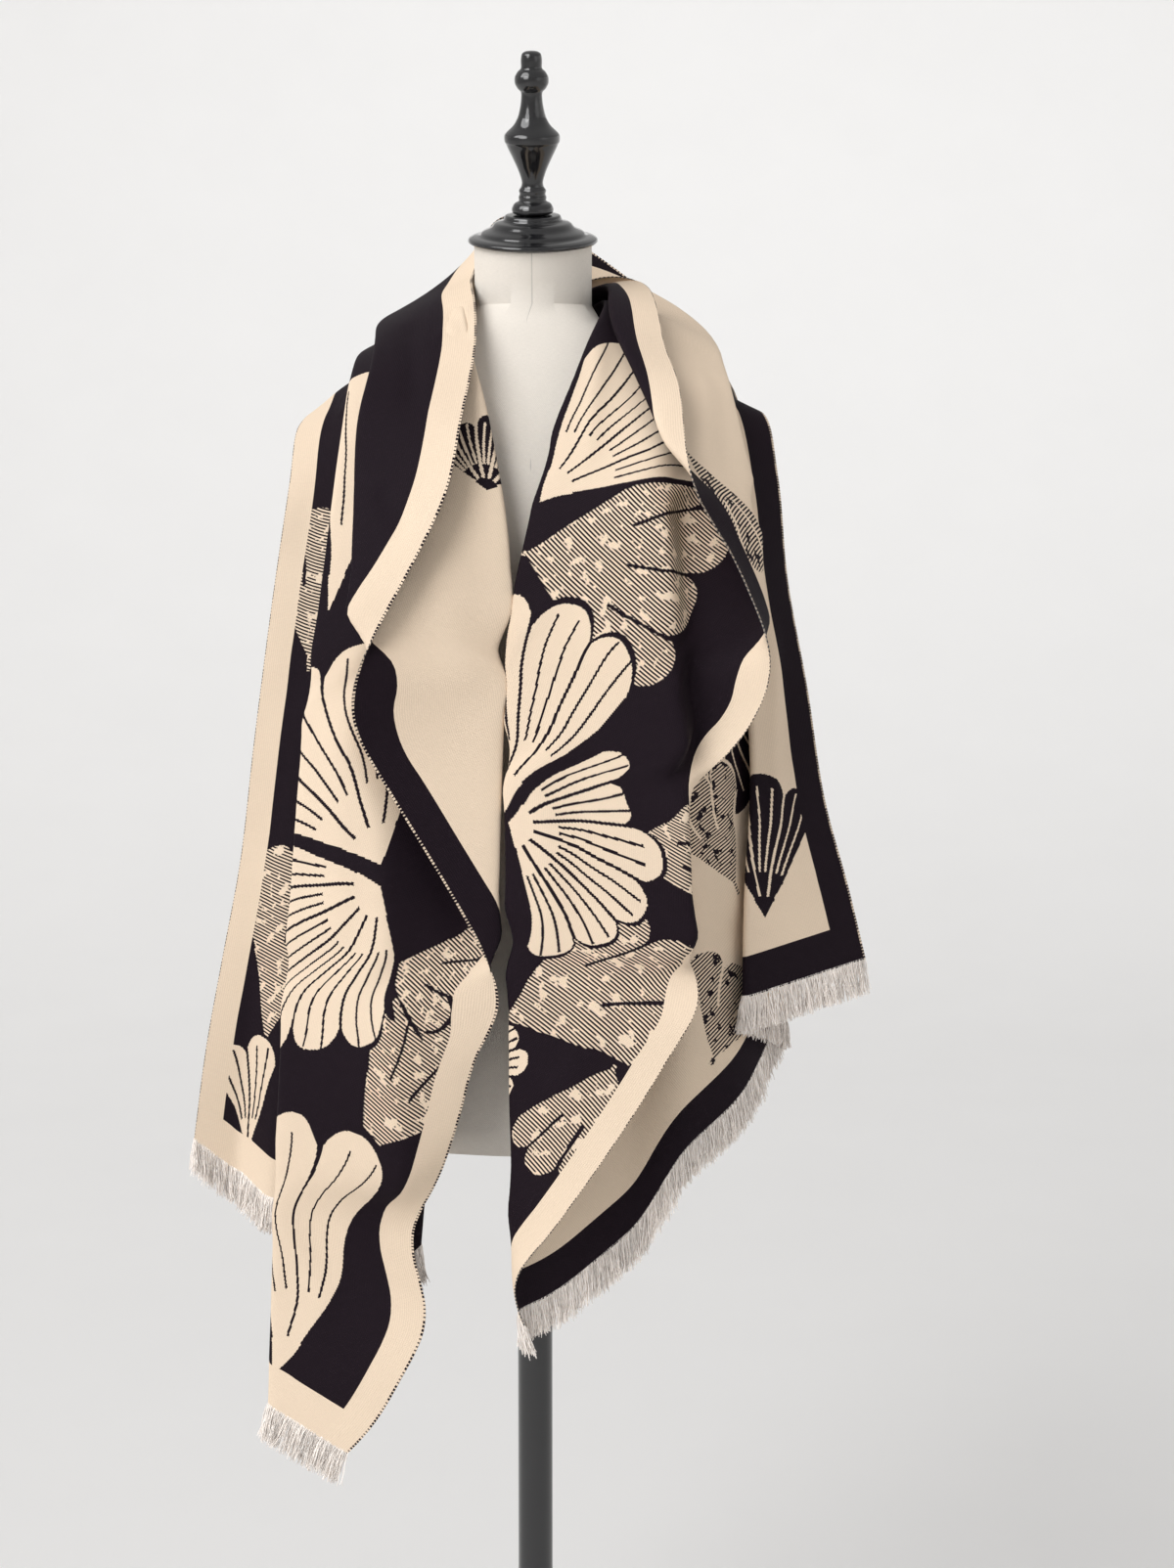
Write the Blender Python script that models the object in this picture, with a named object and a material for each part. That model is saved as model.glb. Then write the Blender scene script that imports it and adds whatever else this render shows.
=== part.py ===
"""Blanket scarf draped round the neck of a limbless dress form.

Metres, +Z up, the wearer faces -Y, the base stands on Z = 0 with its middle at the origin.
The scarf is one strip of double-faced cloth.  Its two falls hang in front as cascades of folds, and
between them it is gathered and given a half twist round the nape, so the edge that lies at the neck
on one fall is the outer edge of the other.
"""
import math

import bmesh
import bpy
import numpy as np
from mathutils import Matrix, Vector
from mathutils.bvhtree import BVHTree

CM = 0.01

# ---- cloth ------------------------------------------------------------------------------------
CLOTH_THICKNESS = 0.0012
SEAM_GAP = 0.0003
CLOTH_COLUMNS = 42          # stations across the cloth, from edge to edge
FALL_ROWS = 28              # stations down each fall
TWIST_ROWS = 12             # stations round the nape
FOLD_LOOP = 0.006           # width of the loop in which a tight fold turns
FOLD_ROUNDING = 0.008       # length of cloth over which a corner is rounded
FOLD_FADE = 0.02            # share of a fall before a fold's end at which the fold is flat
TURN_WEIGHT = 0.012         # extra length given to a turn of one radian when stations are shared out
SEAM_EVENING = 3            # passes that even the cloth where the falls meet the twist
FORM_CLEARANCE = 0.0007     # air between the cloth and the form it rests on
LAYER_CLEARANCE = 0.0005    # least air between two layers of the cloth
SETTLING_PASSES = 24        # most passes that part the layers and lift them off the form
DENSE = 600                 # samples used to round one section

# ---- fringe -----------------------------------------------------------------------------------
FRINGE_STRIP = 0.006
FRINGE_LENGTH = 0.028
LOCK_TAPER = 0.45
LOCK_FILL = 0.66            # share of its field of the strip that a lock fills at its root

# ---- dress form -------------------------------------------------------------------------------
NECK_RADIUS = 0.049
NECK_TILT = math.radians(17.0)
NECK_TOP = Vector((0.0, -0.004, 1.458))
FORM_SEGMENTS = 32
ROUND_SEGMENTS = 24
POLE_RADIUS = 0.015
POLE_TOP = 0.6997

# Rings of the torso: height, half width, depth to the front and to the back (cm).
TORSO_RINGS = (
    # height  half_width  front  back
    (70.0, 10.5, 7.0, 7.5),
    (70.6, 14.2, 9.2, 10.0),
    (73.0, 16.0, 10.3, 11.3),
    (80.0, 16.6, 10.8, 12.0),
    (89.0, 15.0, 9.9, 10.6),
    (99.0, 12.3, 8.8, 8.6),
    (108.0, 13.8, 10.4, 9.2),
    (116.0, 15.2, 12.0, 10.2),
    (122.0, 15.9, 11.8, 10.6),
    (127.0, 17.4, 10.2, 10.2),
    (130.5, 17.6, 8.6, 9.4),
    (132.6, 16.6, 7.5, 8.6),
    (134.6, 14.4, 6.6, 7.8),
    (136.4, 11.4, 5.8, 7.1),
    (137.9, 8.4, 5.1, 6.4),
    (139.2, 6.0, 4.6, 5.7),
)
RING_POWER = 2.25           # 2 is an ellipse, more is squarer

# Turned profiles: distance from the axis and height above the neck's top (cm).
CAP_PROFILE = (
    (0.0, 0.0), (5.2, 0.0), (5.42, 0.18), (5.36, 0.42), (5.0, 0.58), (4.45, 0.66),
    (4.25, 0.95), (3.5, 1.25), (3.15, 1.7), (2.45, 1.85), (2.35, 2.2), (2.2, 2.35), (0.0, 2.35),
)
FINIAL_PROFILE = (
    (0.0, 2.38), (1.6, 2.38), (1.78, 2.75), (1.55, 3.25), (1.1, 3.45), (1.18, 3.75), (1.05, 4.0),
    (1.16, 4.3), (0.92, 4.6), (0.86, 5.0), (1.15, 5.9), (1.62, 6.9), (2.02, 7.7), (2.16, 8.05),
    (2.28, 8.2), (2.3, 8.7), (2.12, 8.95), (1.5, 9.5), (1.12, 10.2), (0.9, 11.2), (0.84, 12.1),
    (1.15, 12.35), (1.4, 12.8), (1.4, 13.3), (1.12, 13.75), (0.84, 13.95), (0.88, 14.6),
    (0.8, 15.1), (0.5, 15.3), (0.0, 15.35),
)
BASE_PROFILE = (
    (0.0, 0.0), (16.3, 0.0), (16.5, 0.4), (16.5, 1.2), (16.1, 1.6), (9.0, 2.1), (4.2, 2.5),
    (3.4, 3.1), (2.9, 4.2), (2.6, 4.4), (0.0, 4.4),
)

# ---- fold tables ------------------------------------------------------------------------------
# Each fold or edge is followed from the top of the shoulder down.  A row gives one station of it:
# side (+ is the wearer's left), forward of the form's axis, and height above the floor, in cm.
# "ends" says where the fold runs out: at the hem, or where it meets the named edge.
SHORT_FALL = (
    dict(name="outer edge", ends="hem", stations=(
        (17.3, -0.5, 132.4), (19.2, 3.2, 131.4), (20.1, 5.2, 126.5), (20.9, 6.0, 118.0),
        (22.6, 6.0, 109.0), (24.2, 5.6, 99.6), (26.3, 5.0, 92.2), (27.8, 4.5, 86.3))),
    dict(name="outer pleat, inner fold", ends="hem", stations=(
        (14.5, -0.5, 134.6), (15.8, 4.0, 132.6), (15.8, 8.0, 127.0), (16.4, 9.8, 119.0),
        (17.4, 9.8, 109.5), (17.8, 9.6, 101.0), (17.4, 9.8, 94.0), (17.2, 10.0, 84.0))),
    dict(name="outer pleat, outer fold", ends="hem", stations=(
        (12.9, -0.5, 135.9), (14.2, 4.2, 133.6), (15.4, 6.6, 127.0), (17.2, 6.2, 118.0),
        (18.8, 5.8, 108.5), (19.8, 5.2, 100.0), (20.4, 4.6, 92.0), (21.0, 4.2, 81.6))),
    dict(name="inner pleat, outer fold", ends="hem", stations=(
        (11.6, -0.5, 136.8), (12.6, 4.8, 134.6), (13.4, 8.8, 126.6), (14.6, 10.4, 117.0),
        (15.6, 10.2, 108.0), (16.2, 9.6, 93.8), (16.4, 9.2, 81.8), (17.0, 9.0, 75.2))),
    dict(name="inner pleat, inner fold", ends="hem", stations=(
        (10.4, -0.5, 137.8), (11.0, 5.6, 135.6), (11.4, 11.4, 125.6), (12.0, 13.0, 113.6),
        (12.3, 13.4, 101.8), (12.5, 12.4, 85.9), (12.8, 11.2, 72.2))),
    dict(name="hidden wave, back", ends="hem", stations=(
        (8.8, -0.5, 139.0), (9.0, 5.8, 136.6), (8.0, 11.2, 125.0), (8.0, 10.6, 110.0),
        (8.0, 9.8, 90.0), (8.1, 11.4, 64.8))),
    dict(name="hidden wave, front", ends="hem", stations=(
        (7.4, -0.5, 140.1), (7.2, 5.8, 137.6), (4.4, 12.4, 126.0), (2.6, 13.6, 108.0),
        (1.8, 13.8, 88.0), (1.6, 13.6, 60.2))),
    dict(name="neckline fold", ends="hem", stations=(
        (5.9, -0.5, 141.2), (5.6, 4.0, 139.6), (4.6, 7.2, 137.2), (3.4, 10.4, 133.8),
        (2.3, 12.4, 131.0), (1.0, 13.8, 126.2), (-0.5, 14.6, 120.6), (-1.5, 15.0, 115.1),
        (-2.0, 15.4, 103.6), (-2.3, 15.4, 86.5), (-2.3, 15.4, 74.8), (-1.6, 15.2, 65.2),
        (-1.0, 14.6, 59.3))),
    dict(name="middle ridge", ends="lapel edge", stations=(
        (9.0, -0.5, 139.6), (8.8, 6.4, 136.6), (9.4, 11.6, 132.0), (10.2, 15.0, 128.0),
        (10.6, 16.6, 124.0), (11.1, 17.4, 115.1), (12.1, 18.0, 103.6), (12.9, 18.0, 90.1),
        (13.4, 17.8, 85.6))),
    dict(name="middle valley", ends="lapel edge", stations=(
        (12.4, -0.5, 137.7), (12.8, 5.6, 134.8), (12.1, 12.8, 128.5), (12.0, 15.0, 121.0),
        (12.6, 15.4, 114.0), (12.9, 15.4, 108.0), (12.6, 15.5, 101.8))),
    dict(name="shoulder fold", ends="lapel edge", stations=(
        (15.6, -0.5, 136.9), (16.2, 4.4, 133.8), (16.8, 8.8, 129.9), (17.4, 11.8, 126.2),
        (18.0, 14.2, 121.4), (18.5, 15.8, 114.6), (18.8, 16.8, 110.5))),
    dict(name="collar fold", ends="lapel edge", stations=(
        (6.3, -0.5, 142.3), (6.2, 4.2, 140.4), (6.7, 7.8, 137.8), (7.8, 10.8, 135.2),
        (9.0, 13.6, 132.2), (10.2, 16.2, 129.2), (12.2, 18.2, 125.2), (13.1, 18.8, 123.8))),
    dict(name="lapel edge", ends="hem", stations=(
        (9.8, -0.5, 142.0), (10.3, 4.4, 139.8), (10.7, 8.6, 136.6), (11.7, 13.0, 133.2),
        (12.0, 16.4, 129.6), (12.3, 18.2, 126.6), (13.2, 19.0, 123.6), (14.9, 19.1, 121.0),
        (16.7, 18.7, 117.4), (18.7, 17.2, 110.6), (15.9, 16.6, 104.8), (12.2, 15.5, 101.0),
        (11.4, 14.8, 94.2), (12.2, 15.4, 88.6), (13.4, 17.6, 85.4), (11.4, 18.1, 81.6),
        (6.5, 18.1, 73.6), (1.4, 17.6, 66.2), (-1.3, 16.6, 62.2), (-0.5, 15.2, 58.2))),
)

LONG_FALL = (
    dict(name="lapel edge", ends="hem", stations=(
        (-5.2, -0.5, 142.9), (-4.7, 3.4, 141.0), (-4.4, 7.0, 137.8), (-4.8, 11.6, 133.2),
        (-5.3, 14.0, 130.4), (-6.3, 17.0, 124.6), (-8.3, 18.2, 120.1), (-10.9, 18.7, 115.2),
        (-13.5, 18.4, 109.6), (-13.6, 17.4, 106.6), (-12.1, 16.6, 103.4), (-9.0, 16.1, 98.0),
        (-6.1, 15.8, 93.0), (-3.5, 15.6, 87.9), (-2.3, 15.6, 84.2), (-4.1, 15.7, 80.9),
        (-5.2, 15.3, 76.8), (-7.6, 14.5, 69.6), (-9.6, 13.6, 65.2), (-8.9, 14.2, 61.6),
        (-8.3, 15.4, 58.7), (-9.9, 16.1, 55.2), (-13.0, 15.7, 49.8), (-14.8, 15.1, 47.7))),
    dict(name="lapel fold", ends="lapel edge", stations=(
        (-13.2, -0.5, 138.8), (-12.9, 4.4, 137.2), (-13.0, 8.8, 134.4), (-13.6, 12.0, 130.6),
        (-13.7, 15.2, 123.5), (-13.8, 17.6, 115.8), (-13.9, 18.3, 110.4))),
    dict(name="neckline fold", ends="lapel edge", stations=(
        (-5.6, -0.5, 141.6), (-5.2, 4.2, 140.0), (-4.7, 7.8, 136.2), (-3.7, 10.2, 132.6),
        (-2.6, 12.2, 127.5), (-1.8, 13.8, 122.9), (-1.4, 14.6, 118.0), (-1.8, 15.1, 109.7),
        (-2.3, 15.2, 98.4), (-2.4, 15.4, 86.4), (-2.3, 15.6, 84.2))),
    dict(name="hollow behind the lapel", ends="lapel edge", stations=(
        (-7.8, -0.5, 140.3), (-7.4, 4.6, 138.0), (-6.8, 11.4, 127.5), (-7.4, 12.8, 118.0),
        (-8.0, 12.8, 106.0), (-6.4, 13.0, 96.0), (-3.2, 14.0, 86.4))),
    dict(name="leaf ridge", ends="lapel edge", stations=(
        (-10.2, -0.5, 139.0), (-10.2, 5.6, 136.4), (-11.4, 12.0, 124.6), (-13.0, 14.0, 112.0),
        (-13.8, 14.6, 106.0), (-12.0, 15.2, 97.4), (-11.3, 16.0, 87.5), (-10.8, 16.6, 78.1),
        (-10.2, 16.3, 71.6), (-9.6, 15.0, 65.6))),
    dict(name="leaf fold", ends="hem", stations=(
        (-14.8, -0.5, 136.4), (-15.0, 5.0, 133.6), (-15.4, 8.6, 128.6), (-16.6, 11.2, 118.1),
        (-18.1, 12.6, 106.1), (-19.2, 13.0, 93.1), (-20.3, 13.0, 78.2), (-21.2, 13.0, 58.6),
        (-21.5, 13.0, 51.1))),
    dict(name="hidden inner fold", ends="hem", stations=(
        (-8.6, -0.5, 138.6), (-8.6, 5.0, 135.6), (-8.0, 9.8, 128.4), (-6.0, 12.0, 118.0),
        (-5.1, 11.6, 101.4), (-7.1, 10.6, 85.3), (-8.6, 10.0, 69.1), (-9.1, 9.8, 63.4))),
    dict(name="outer wave, front", ends="hem", stations=(
        (-13.2, -0.5, 136.2), (-13.8, 5.4, 132.4), (-14.6, 8.4, 120.0), (-17.0, 8.6, 102.0),
        (-20.2, 8.2, 82.0), (-21.9, 7.6, 66.7))),
    dict(name="outer wave, back", ends="hem", stations=(
        (-15.8, -0.5, 134.4), (-16.8, 4.0, 130.8), (-18.0, 6.8, 120.0), (-20.4, 7.2, 102.0),
        (-23.4, 6.2, 82.0), (-24.9, 4.8, 68.3))),
    dict(name="outer edge", ends="hem", stations=(
        (-18.0, -0.5, 132.2), (-19.3, 3.2, 130.6), (-19.8, 5.4, 126.0), (-20.8, 6.4, 119.0),
        (-22.9, 6.8, 103.9), (-24.1, 6.4, 94.9), (-25.8, 6.0, 86.5), (-27.3, 5.6, 79.0),
        (-28.5, 5.2, 71.1))),
)

# ---- the twist round the nape -----------------------------------------------------------------
# Each corner of the gathered section runs from a fold of the long fall to one of the short fall.
TWIST_CORNERS = (
    # long fall           short fall
    ("lapel edge", "outer edge"),
    ("lapel fold", "neckline fold"),
    ("neckline fold", "shoulder fold"),
    ("leaf fold", "collar fold"),
    ("hidden inner fold", "lapel edge"),
    ("outer edge", "lapel edge"),
)
TWIST_RADIUS = 0.086        # from the neck's middle to the middle of the bundle, at the nape
TWIST_HEIGHT = 1.402        # height of the middle of the bundle at the nape
TWIST_WIDEN = 1.08          # width of the bundle at the nape against its width on the shoulders
TWIST_LOOSEN = 0.90         # how much thicker the bundle is at the nape than on the shoulders
TWIST_RISE = 0.010          # how far it rises on its way from a shoulder to the nape
TWIST_SLOPE = math.radians(26.0)
TWIST_LEAN = math.radians(20.0)     # how far the bundle leans back over the shoulders at the nape


# ---- curves and sections ----------------------------------------------------------------------
def spline(points, samples):
    """A smooth curve through the points, as evenly spaced samples."""
    pts = np.asarray(points, dtype=float)
    steps = np.linalg.norm(np.diff(pts, axis=0), axis=1)
    knots = np.concatenate(([0.0], np.cumsum(steps)))
    slopes = np.gradient(pts, knots, axis=0)
    at = np.linspace(0.0, knots[-1], samples)
    span = np.clip(np.searchsorted(knots, at, side="right") - 1, 0, len(knots) - 2)
    width = knots[span + 1] - knots[span]
    t = ((at - knots[span]) / width)[:, None]
    width = width[:, None]
    return ((2 * t**3 - 3 * t**2 + 1) * pts[span] + (t**3 - 2 * t**2 + t) * width * slopes[span]
            + (3 * t**2 - 2 * t**3) * pts[span + 1] + (t**3 - t**2) * width * slopes[span + 1])


def along(curve, share):
    """The point at a share of the curve's length."""
    steps = np.linalg.norm(np.diff(curve, axis=0), axis=1)
    run = np.concatenate(([0.0], np.cumsum(steps)))
    return np.array([np.interp(share * run[-1], run, curve[:, axis]) for axis in range(3)])


def station(side, forward, height):
    return (side * CM, -forward * CM, height * CM)


def fold_tracks(table):
    """Each fold as a dense curve, with the share of the fall's length at which it runs out."""
    curves = {fold["name"]: spline([station(*row) for row in fold["stations"]], 160) for fold in table}
    tracks = []
    for fold in table:
        curve = curves[fold["name"]]
        share = 1.0
        if fold["ends"] != "hem":
            edge = curves[fold["ends"]]
            share = int(np.argmin(np.linalg.norm(edge - curve[-1], axis=1))) / (len(edge) - 1.0)
        tracks.append((curve, share))
    return tracks


def looped(corners, ways):
    """Gives each corner of a section two points, a fold's loop apart and square to the way the fold
    runs, so that its two layers stay apart."""
    points = [corners[0]]
    for before, here, after, way in zip(corners, corners[1:], corners[2:], ways[1:]):
        back, onward = before - here, after - here
        room = min(np.linalg.norm(back), np.linalg.norm(onward))
        apart = unit(back - way * back.dot(way)) - unit(onward - way * onward.dot(way))
        apart = unit(apart) * 0.5 * min(FOLD_LOOP, 0.4 * room)
        points += [here + apart, here - apart]
    points.append(corners[-1])
    return np.array(points)


def rounded(corners, ways, columns):
    """A section through the folds' corners, each rounded, as stations that crowd where it turns."""
    dense = resample(looped(corners, ways), DENSE)
    length = np.linalg.norm(np.diff(dense, axis=0), axis=1).sum()
    reach = max(1, int(round(0.5 * FOLD_ROUNDING / length * DENSE)))
    for _ in range(2):
        before = 2 * dense[0] - dense[reach:0:-1]
        after = 2 * dense[-1] - dense[-2:-2 - reach:-1]
        padded = np.vstack((before, dense, after))
        sums = np.cumsum(np.vstack((np.zeros(3), padded)), axis=0)
        width = 2 * reach + 1
        dense = (sums[width:] - sums[:-width]) / width
    return resample(dense, columns, TURN_WEIGHT)


def resample(points, count, turn_weight=0.0):
    """Evenly shared stations along a curve; with a turn weight they crowd where it turns."""
    edges = np.diff(points, axis=0)
    steps = np.linalg.norm(edges, axis=1)
    ways = edges / np.maximum(steps, 1e-12)[:, None]
    turns = np.arccos(np.clip((ways[1:] * ways[:-1]).sum(axis=1), -1.0, 1.0))
    steps[1:] += 0.5 * turn_weight * turns
    steps[:-1] += 0.5 * turn_weight * turns
    run = np.concatenate(([0.0], np.cumsum(steps)))
    at = np.linspace(0.0, run[-1], count)
    return np.stack([np.interp(at, run, points[:, axis]) for axis in range(3)], axis=1)


def fall_grid(table, rows, columns):
    """The fall's middle surface: rows from the shoulder to the hem and one more below the fringe's
    strip, columns from edge to edge."""
    tracks = fold_tracks(table)
    grid = []
    for share in np.linspace(0.0, 1.0, rows):
        at = [(curve, share / end) for curve, end in tracks if end == 1.0 or share < end - FOLD_FADE]
        corners = [along(curve, spot) for curve, spot in at]
        ways = [unit(along(curve, spot + 0.02) - along(curve, spot - 0.02)) for curve, spot in at]
        grid.append(rounded(corners, ways, columns))
    grid = smoothed(np.array(grid), passes=2)
    below = grid[-1] + FRINGE_STRIP * evened(unit(grid[-1] - grid[-3]))
    return np.concatenate((grid, below[None]))


def unit(vectors):
    return vectors / np.maximum(np.linalg.norm(vectors, axis=-1, keepdims=True), 1e-12)


def evened(vectors):
    """Unit vectors along a row, each brought nearer to its neighbours."""
    for _ in range(4):
        wide = np.concatenate((vectors[:1], vectors, vectors[-1:]))
        vectors = unit(wide[:-2] + 2.0 * wide[1:-1] + wide[2:])
    return vectors


def smoothed(grid, passes):
    """Evens a grid along its length without drawing its curves in; its first and last rows stay."""
    for _ in range(passes):
        for pull in (0.5, -0.52):
            grid[1:-1] += pull * (0.5 * (grid[:-2] + grid[2:]) - grid[1:-1])
    return grid


def smoothstep(low, high, value):
    t = np.clip((value - low) / (high - low), 0.0, 1.0)
    return t * t * (3.0 - 2.0 * t)


def top_corners(table, names):
    folds = {fold["name"]: fold["stations"][0] for fold in table}
    return np.array([station(*folds[name]) for name in names])


def twist_grid(start, end, rows):
    """The gathered stretch: from the long fall's top row, round the nape, to the short fall's."""
    first = top_corners(LONG_FALL, [pair[0] for pair in TWIST_CORNERS])
    last = top_corners(SHORT_FALL, [pair[1] for pair in TWIST_CORNERS])
    first_middle = 0.5 * (first.min(axis=0) + first.max(axis=0))
    last_middle = 0.5 * (last.min(axis=0) + last.max(axis=0))
    across_first, stack_first = local_section(first, first_middle, 1.0)
    across_last, stack_last = local_section(last, last_middle, -1.0)
    grid = []
    for share in np.linspace(0.0, 1.0, rows)[1:-1]:
        turn = math.pi * (1.0 - share)
        side, back = abs(math.cos(turn)), math.sin(turn)
        blend = smoothstep(0.0, 1.0, share)
        roll = math.pi * blend
        outward = unit(np.array((math.cos(turn), back,
                                 back * math.tan(TWIST_LEAN) - side * math.tan(TWIST_SLOPE))))
        upward = unit(np.cross(np.array((back, -math.cos(turn), 0.0)), outward))
        upward *= math.copysign(1.0, upward[2])
        shoulder = (1.0 - blend) * np.abs(first_middle) + blend * np.abs(last_middle)
        flat = abs(math.cos(roll))
        radius = flat * shoulder[0] + (1.0 - flat) * TWIST_RADIUS
        height = side**2 * shoulder[2] + back**2 * TWIST_HEIGHT + 2.0 * side * back * TWIST_RISE
        root = side * shoulder[1] + back * neck_middle(height).y
        middle = np.array((radius * math.cos(turn), root + radius * back, height))
        across = ((1.0 - blend) * across_first + blend * across_last) * (1.0 - (1.0 - TWIST_WIDEN) * back)
        stack = ((1.0 - blend) * stack_first + blend * stack_last) * (1.0 + TWIST_LOOSEN * back)
        corners = (middle + outward * (across * math.cos(roll) + stack * math.sin(roll))[:, None]
                   + upward * (stack * math.cos(roll) - across * math.sin(roll))[:, None])
        way = np.cross(outward, upward)
        grid.append(rounded(corners, [way] * len(corners), len(start)))
    return np.array([start] + grid + [end])


def local_section(row, middle, sign):
    """A shoulder section as distance outwards and height in the stack, from its middle."""
    side = math.copysign(1.0, middle[0])
    outward = np.array((side * math.cos(TWIST_SLOPE), 0.0, -math.sin(TWIST_SLOPE)))
    upward = np.array((side * math.sin(TWIST_SLOPE), 0.0, math.cos(TWIST_SLOPE)))
    offset = row - middle
    return sign * offset @ outward, sign * offset @ upward


# ---- the form's surface -----------------------------------------------------------------------
def neck_middle(height):
    """The middle of the neck, which leans forward as it rises."""
    return Vector((0.0, NECK_TOP.y + (NECK_TOP.z - height) * math.tan(NECK_TILT), height))


def super_ring(height, half, front, back):
    """A ring of the torso: a rounded oblong that is deeper on one side than on the other."""
    ring = []
    for k in range(FORM_SEGMENTS):
        angle = 2.0 * math.pi * k / FORM_SEGMENTS
        c, s = math.cos(angle), math.sin(angle)
        depth = back if s > 0.0 else front
        x = half * math.copysign(abs(c)**(2.0 / RING_POWER), c)
        ring.append(Vector((x, depth * math.copysign(abs(s)**(2.0 / RING_POWER), s), height)))
    return ring


def neck_ring(height, tilt):
    """A round ring of the neck, its plane tilted forward."""
    frame = Matrix.Translation(neck_middle(height)) @ Matrix.Rotation(tilt, 4, "X")
    turns = [2.0 * math.pi * k / FORM_SEGMENTS for k in range(FORM_SEGMENTS)]
    return [frame @ (NECK_RADIUS * Vector((math.cos(turn), math.sin(turn), 0.0))) for turn in turns]


def torso_rings():
    rings = [super_ring(*(value * CM for value in row)) for row in TORSO_RINGS]
    top = TORSO_RINGS[-1][0] * CM
    for share in (0.25, 0.6, 1.0):
        rings.append(neck_ring(top + share * (NECK_TOP.z - top), share * NECK_TILT))
    return rings


def torso_skin():
    """The torso and neck as a search tree of three-sided faces."""
    rings = torso_rings()
    points = [point for ring in rings for point in ring]
    n = FORM_SEGMENTS
    faces = []
    for level in range(len(rings) - 1):
        for k in range(n):
            a, b = level * n + k, level * n + (k + 1) % n
            faces += [(a, b, b + n), (a, b + n, a + n)]
    return BVHTree.FromPolygons(points, faces)


# ---- settling: layers apart, and off the form -------------------------------------------------
def parted(grid):
    """How each point has to move so that no layer comes too close to another."""
    rows, columns = grid.shape[:2]
    reach = CLOTH_THICKNESS + LAYER_CLEARANCE
    faces = [(r * columns + c, r * columns + c + 1, (r + 1) * columns + c + 1, (r + 1) * columns + c)
             for r in range(rows - 1) for c in range(columns - 1)]
    tree = BVHTree.FromPolygons(grid.reshape(-1, 3).tolist(), faces)
    moves = np.zeros_like(grid)
    for r in range(rows):
        for c in range(columns):
            point = Vector(grid[r, c])
            steps = [(point - spot) * (0.5 * (reach - gap) / gap)
                     for spot, _, face, gap in tree.find_nearest_range(point, reach)
                     if not -3 <= face % (columns - 1) - c <= 2 and gap > 1e-6]
            if steps:
                moves[r, c] = sum(steps, Vector()) / len(steps)
    return moves


def lifted(grid, skin):
    """How each point has to move so that the cloth clears the form."""
    wall = 0.5 * CLOTH_THICKNESS + FORM_CLEARANCE
    moves = np.zeros_like(grid)
    rows, columns = grid.shape[:2]
    for r in range(rows):
        for c in range(columns):
            for down, over in ((0, 0), (1, 0), (0, 1), (1, 1)):
                if r + down >= rows or c + over >= columns:
                    continue
                point = Vector(0.5 * (grid[r, c] + grid[r + down, c + over]))
                spot, normal, _, _ = skin.find_nearest(point)
                short = wall - (point - spot).dot(normal)
                if short > 0.0:
                    for row, column in {(r, c), (r + down, c + over)}:
                        if short > np.linalg.norm(moves[row, column]):
                            moves[row, column] = normal * short
    return moves


def settled(grid, skin):
    """The grid with its layers parted and lifted off the form."""
    for _ in range(SETTLING_PASSES):
        moves = parted(grid)
        grid += moves
        lifts = lifted(grid, skin)
        grid += lifts
        if np.abs(moves).max() < 1e-5 and np.abs(lifts).max() < 1e-5:
            break
    return grid


# ---- meshes -----------------------------------------------------------------------------------
def surface_normals(grid):
    return unit(np.cross(np.gradient(grid, axis=1), np.gradient(grid, axis=0)))


def cloth_wall(name, grid, normals, material):
    """A closed wall of CLOTH_THICKNESS round the grid, drawn back from its end rows by half a seam."""
    grid = grid.copy()
    grid[0] += 0.5 * SEAM_GAP * unit(grid[1] - grid[0])
    grid[-1] += 0.5 * SEAM_GAP * unit(grid[-2] - grid[-1])
    rows, columns = grid.shape[:2]
    half = 0.5 * CLOTH_THICKNESS * normals
    verts = np.concatenate(((grid + half).reshape(-1, 3), (grid - half).reshape(-1, 3)))
    back = rows * columns
    faces = []
    for r in range(rows - 1):
        for c in range(columns - 1):
            a, b = r * columns + c, r * columns + c + 1
            d, e = a + columns, b + columns
            faces.append((a, b, e, d))
            faces.append((back + a, back + d, back + e, back + b))
    rim = [(0, c) for c in range(columns)]
    rim += [(r, columns - 1) for r in range(1, rows)]
    rim += [(rows - 1, c) for c in range(columns - 2, -1, -1)]
    rim += [(r, 0) for r in range(rows - 2, 0, -1)]
    loop = [r * columns + c for r, c in rim]
    for i, a in enumerate(loop):
        b = loop[(i + 1) % len(loop)]
        faces.append((b, a, back + a, back + b))
    return mesh_object(name, verts.tolist(), faces, material)


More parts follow.
